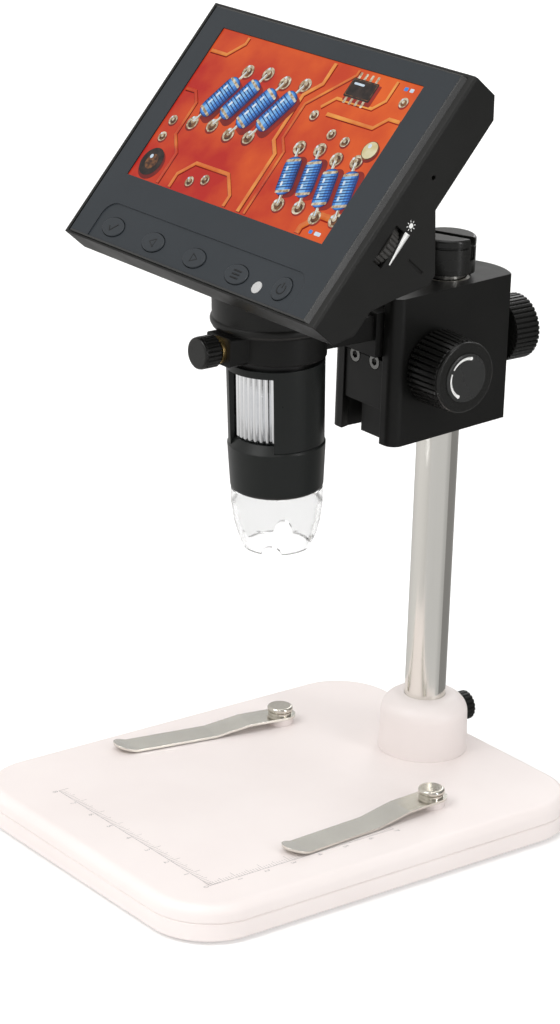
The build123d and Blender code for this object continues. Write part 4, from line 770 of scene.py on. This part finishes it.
wedge = stroke([(0, 0), (-WEDGE_L * MM, -0.7 * MM)], [2.1 * MM, 0.5 * MM], CHEEK_T)
put(wedge, on_cheek(WEDGE_V, WEDGE_D))
sun_ray = stroke([(1.05 * MM, 0), (1.6 * MM, 0)], [0.28 * MM] * 2, CHEEK_T)
sun = copies(sun_ray, [Matrix.Rotation(math.radians(45 * ray), 4, "Z") for ray in range(8)])
sun.append(dot(0, 0, 0.75 * MM, CHEEK_T))
sun_sign = joined(sun, "sun_sign")
put(sun_sign, on_cheek(SUN_V, SUN_D))
dimmer_sign = joined([wedge, sun_sign], "dimmer_sign", white_print)
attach(dimmer_sign, "head")

# ---------------------------------------------------------------- boards, battery and controls inside
# Green glass-fibre boards, tinned contacts, a foil pouch cell and moulded switches, all held by the
# housing's posts.
board_green = moulded("board_green", colour=(0.02, 0.13, 0.05), drift=(0.03, 0.18, 0.07),
                      rough=(0.3, 0.45), grain=600.0)
dress(board_green, "main_board", "button_board", "camera_board", "led_board")
foil = machined("battery_foil", colour=(0.42, 0.43, 0.46), drift=(0.33, 0.34, 0.37), rough=(0.3, 0.5),
                stretch=(1.0, 1.0, 1.0), grain=500.0)
dress(foil, "battery")
dress(lcd_can, "switches", "dimmer_pot")

# ---------------------------------------------------------------- barrel tube, sleeve and nose
# The barrel tube and the lens cell are turned aluminium, anodised satin black; sleeve and nose are
# black mouldings pushed over the tube.
tube_black = machined("tube_black", colour=(0.03, 0.03, 0.03), drift=(0.04, 0.04, 0.04),
                      rough=(0.3, 0.42), stretch=(1.0, 1.0, 8.0))
dress(tube_black, "barrel_tube", "lens_cell")
barrel_black = moulded("barrel_black", colour=(0.0065, 0.0078, 0.0072), drift=(0.0095, 0.0108, 0.0102),
                       rough=(0.26, 0.38), grain=3200.0, depth=0.00001, edge=0.0004, sheen=0.28)
dress(barrel_black, "barrel_sleeve", "nose_housing")

# ---------------------------------------------------------------- focus wheel
# A ring of bright aluminium turns on the barrel tube behind the sleeve's two windows. It is milled with
# forty round flutes for the finger, chamfered at both ends, and left bare and polished.
bright_wheel = machined("bright_wheel", colour=(0.97, 0.975, 0.985), drift=(0.86, 0.87, 0.89),
                        rough=(0.1, 0.18), stretch=(1.0, 1.0, 0.06), depth=0.0000005, edge=0.0)
WHEEL_R = 13.1 * MM
WHEEL_RIM_R = 12.6 * MM
WHEEL_BORE = 11.6 * MM
WHEEL_H = 21.0 * MM
WHEEL_CHAMFER = 0.8 * MM
BARREL_LEAN = math.radians(2.8)
FLUTES = 40
FLUTE_CUT = (0.75, 0.36, 0.08, 0.0, 0.08, 0.36)
SLACK = 0.01 * MM
OFF_AXIS = (0.031, 0.017, 0.053)
points_round = FLUTES * len(FLUTE_CUT)
bpy.ops.mesh.primitive_cylinder_add(vertices=points_round, radius=WHEEL_R, end_fill_type="NOTHING",
                                    depth=WHEEL_H - 2 * WHEEL_CHAMFER)
focus_wheel = joined([bpy.context.object], "fluted_wheel", bright_wheel)
for end in (1, -1):
    pick(focus_wheel, "vertices", lambda point: point.co.z * end > 0)
    for rise, wide, narrow in ((end * WHEEL_CHAMFER, WHEEL_R, WHEEL_RIM_R), (0, WHEEL_RIM_R, WHEEL_BORE)):
        bpy.ops.mesh.extrude_edges_move(TRANSFORM_OT_translate={"value": (0, 0, rise)})
        bpy.ops.transform.resize(value=(narrow / wide, narrow / wide, 1))
    bpy.ops.object.mode_set(mode="OBJECT")
pick(focus_wheel, "vertices", lambda point: point.co.z > 0 and point.co.xy.length < WHEEL_BORE + SLACK)
bpy.ops.mesh.extrude_edges_move(TRANSFORM_OT_translate={"value": (0, 0, -WHEEL_H)})
bpy.ops.mesh.select_all(action="SELECT")
bpy.ops.mesh.remove_doubles(threshold=SLACK / 10)
bpy.ops.mesh.normals_make_consistent(inside=False)
# An extrusion leaves its new faces in no fixed order. Sorted by their distance from a point off the
# wheel's axis they come out alike each run.
bpy.context.scene.cursor.location = OFF_AXIS
bpy.ops.mesh.sort_elements(type="CURSOR_DISTANCE", elements={"VERT", "EDGE", "FACE"})
bpy.context.scene.cursor.location = (0, 0, 0)
bpy.ops.object.mode_set(mode="OBJECT")
for step, cut in enumerate(FLUTE_CUT):
    if cut:
        pick(focus_wheel, "vertices", lambda point: point.co.xy.length > WHEEL_BORE + SLACK and
             round(math.atan2(point.co.y, point.co.x) / math.tau * points_round) % len(FLUTE_CUT) == step)
        thin = 1 - cut * MM / WHEEL_R
        bpy.ops.transform.resize(value=(thin, thin, 1))
        bpy.ops.object.mode_set(mode="OBJECT")
wheel_low, wheel_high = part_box("focus_wheel")
put(focus_wheel, Matrix.Translation((wheel_low + wheel_high) / 2) @ Matrix.Rotation(BARREL_LEAN, 4, "X"))
bpy.ops.object.select_all(action="DESELECT")
focus_wheel.select_set(True)
bpy.context.view_layer.objects.active = focus_wheel
bpy.ops.object.shade_smooth_by_angle(angle=math.radians(35))
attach(focus_wheel, "focus_ring")
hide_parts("focus_wheel")

# ---------------------------------------------------------------- clear tip, lenses and lamps
# The tip is a clear polycarbonate skirt that sets the distance to the work; inside it are the coated
# front lens and a ring of eight white lamps.


def clear(name, colour, roughness, ior):
    """Clear moulding or glass with faint flow lines in its surface."""
    material, tree, shader = new_finish(name, colour, roughness)
    shader.inputs["Transmission Weight"].default_value = 1.0
    shader.inputs["IOR"].default_value = ior
    tree.links.new(spread(tree, noise_of(tree, 90.0, 3.0), roughness, roughness + 0.05),
                   shader.inputs["Roughness"])
    tree.links.new(tint(tree, noise_of(tree, 30.0), colour, tuple(0.97 * c for c in colour)),
                   shader.inputs["Base Color"])
    relief(tree, shader, noise_of(tree, 160.0, 1.0), 0.00003)
    return material


dress(clear("clear_skirt", (0.865, 0.866, 0.866), 0.12, 1.12), "clear_tip")
dress(clear("coated_lens", (0.80, 0.84, 0.95), 0.01, 1.5), "lenses")
lamp_white = moulded("lamp_white", colour=(0.86, 0.85, 0.78), drift=(0.88, 0.80, 0.55),
                     rough=(0.3, 0.4), grain=800.0)
dress(lamp_white, "leds")
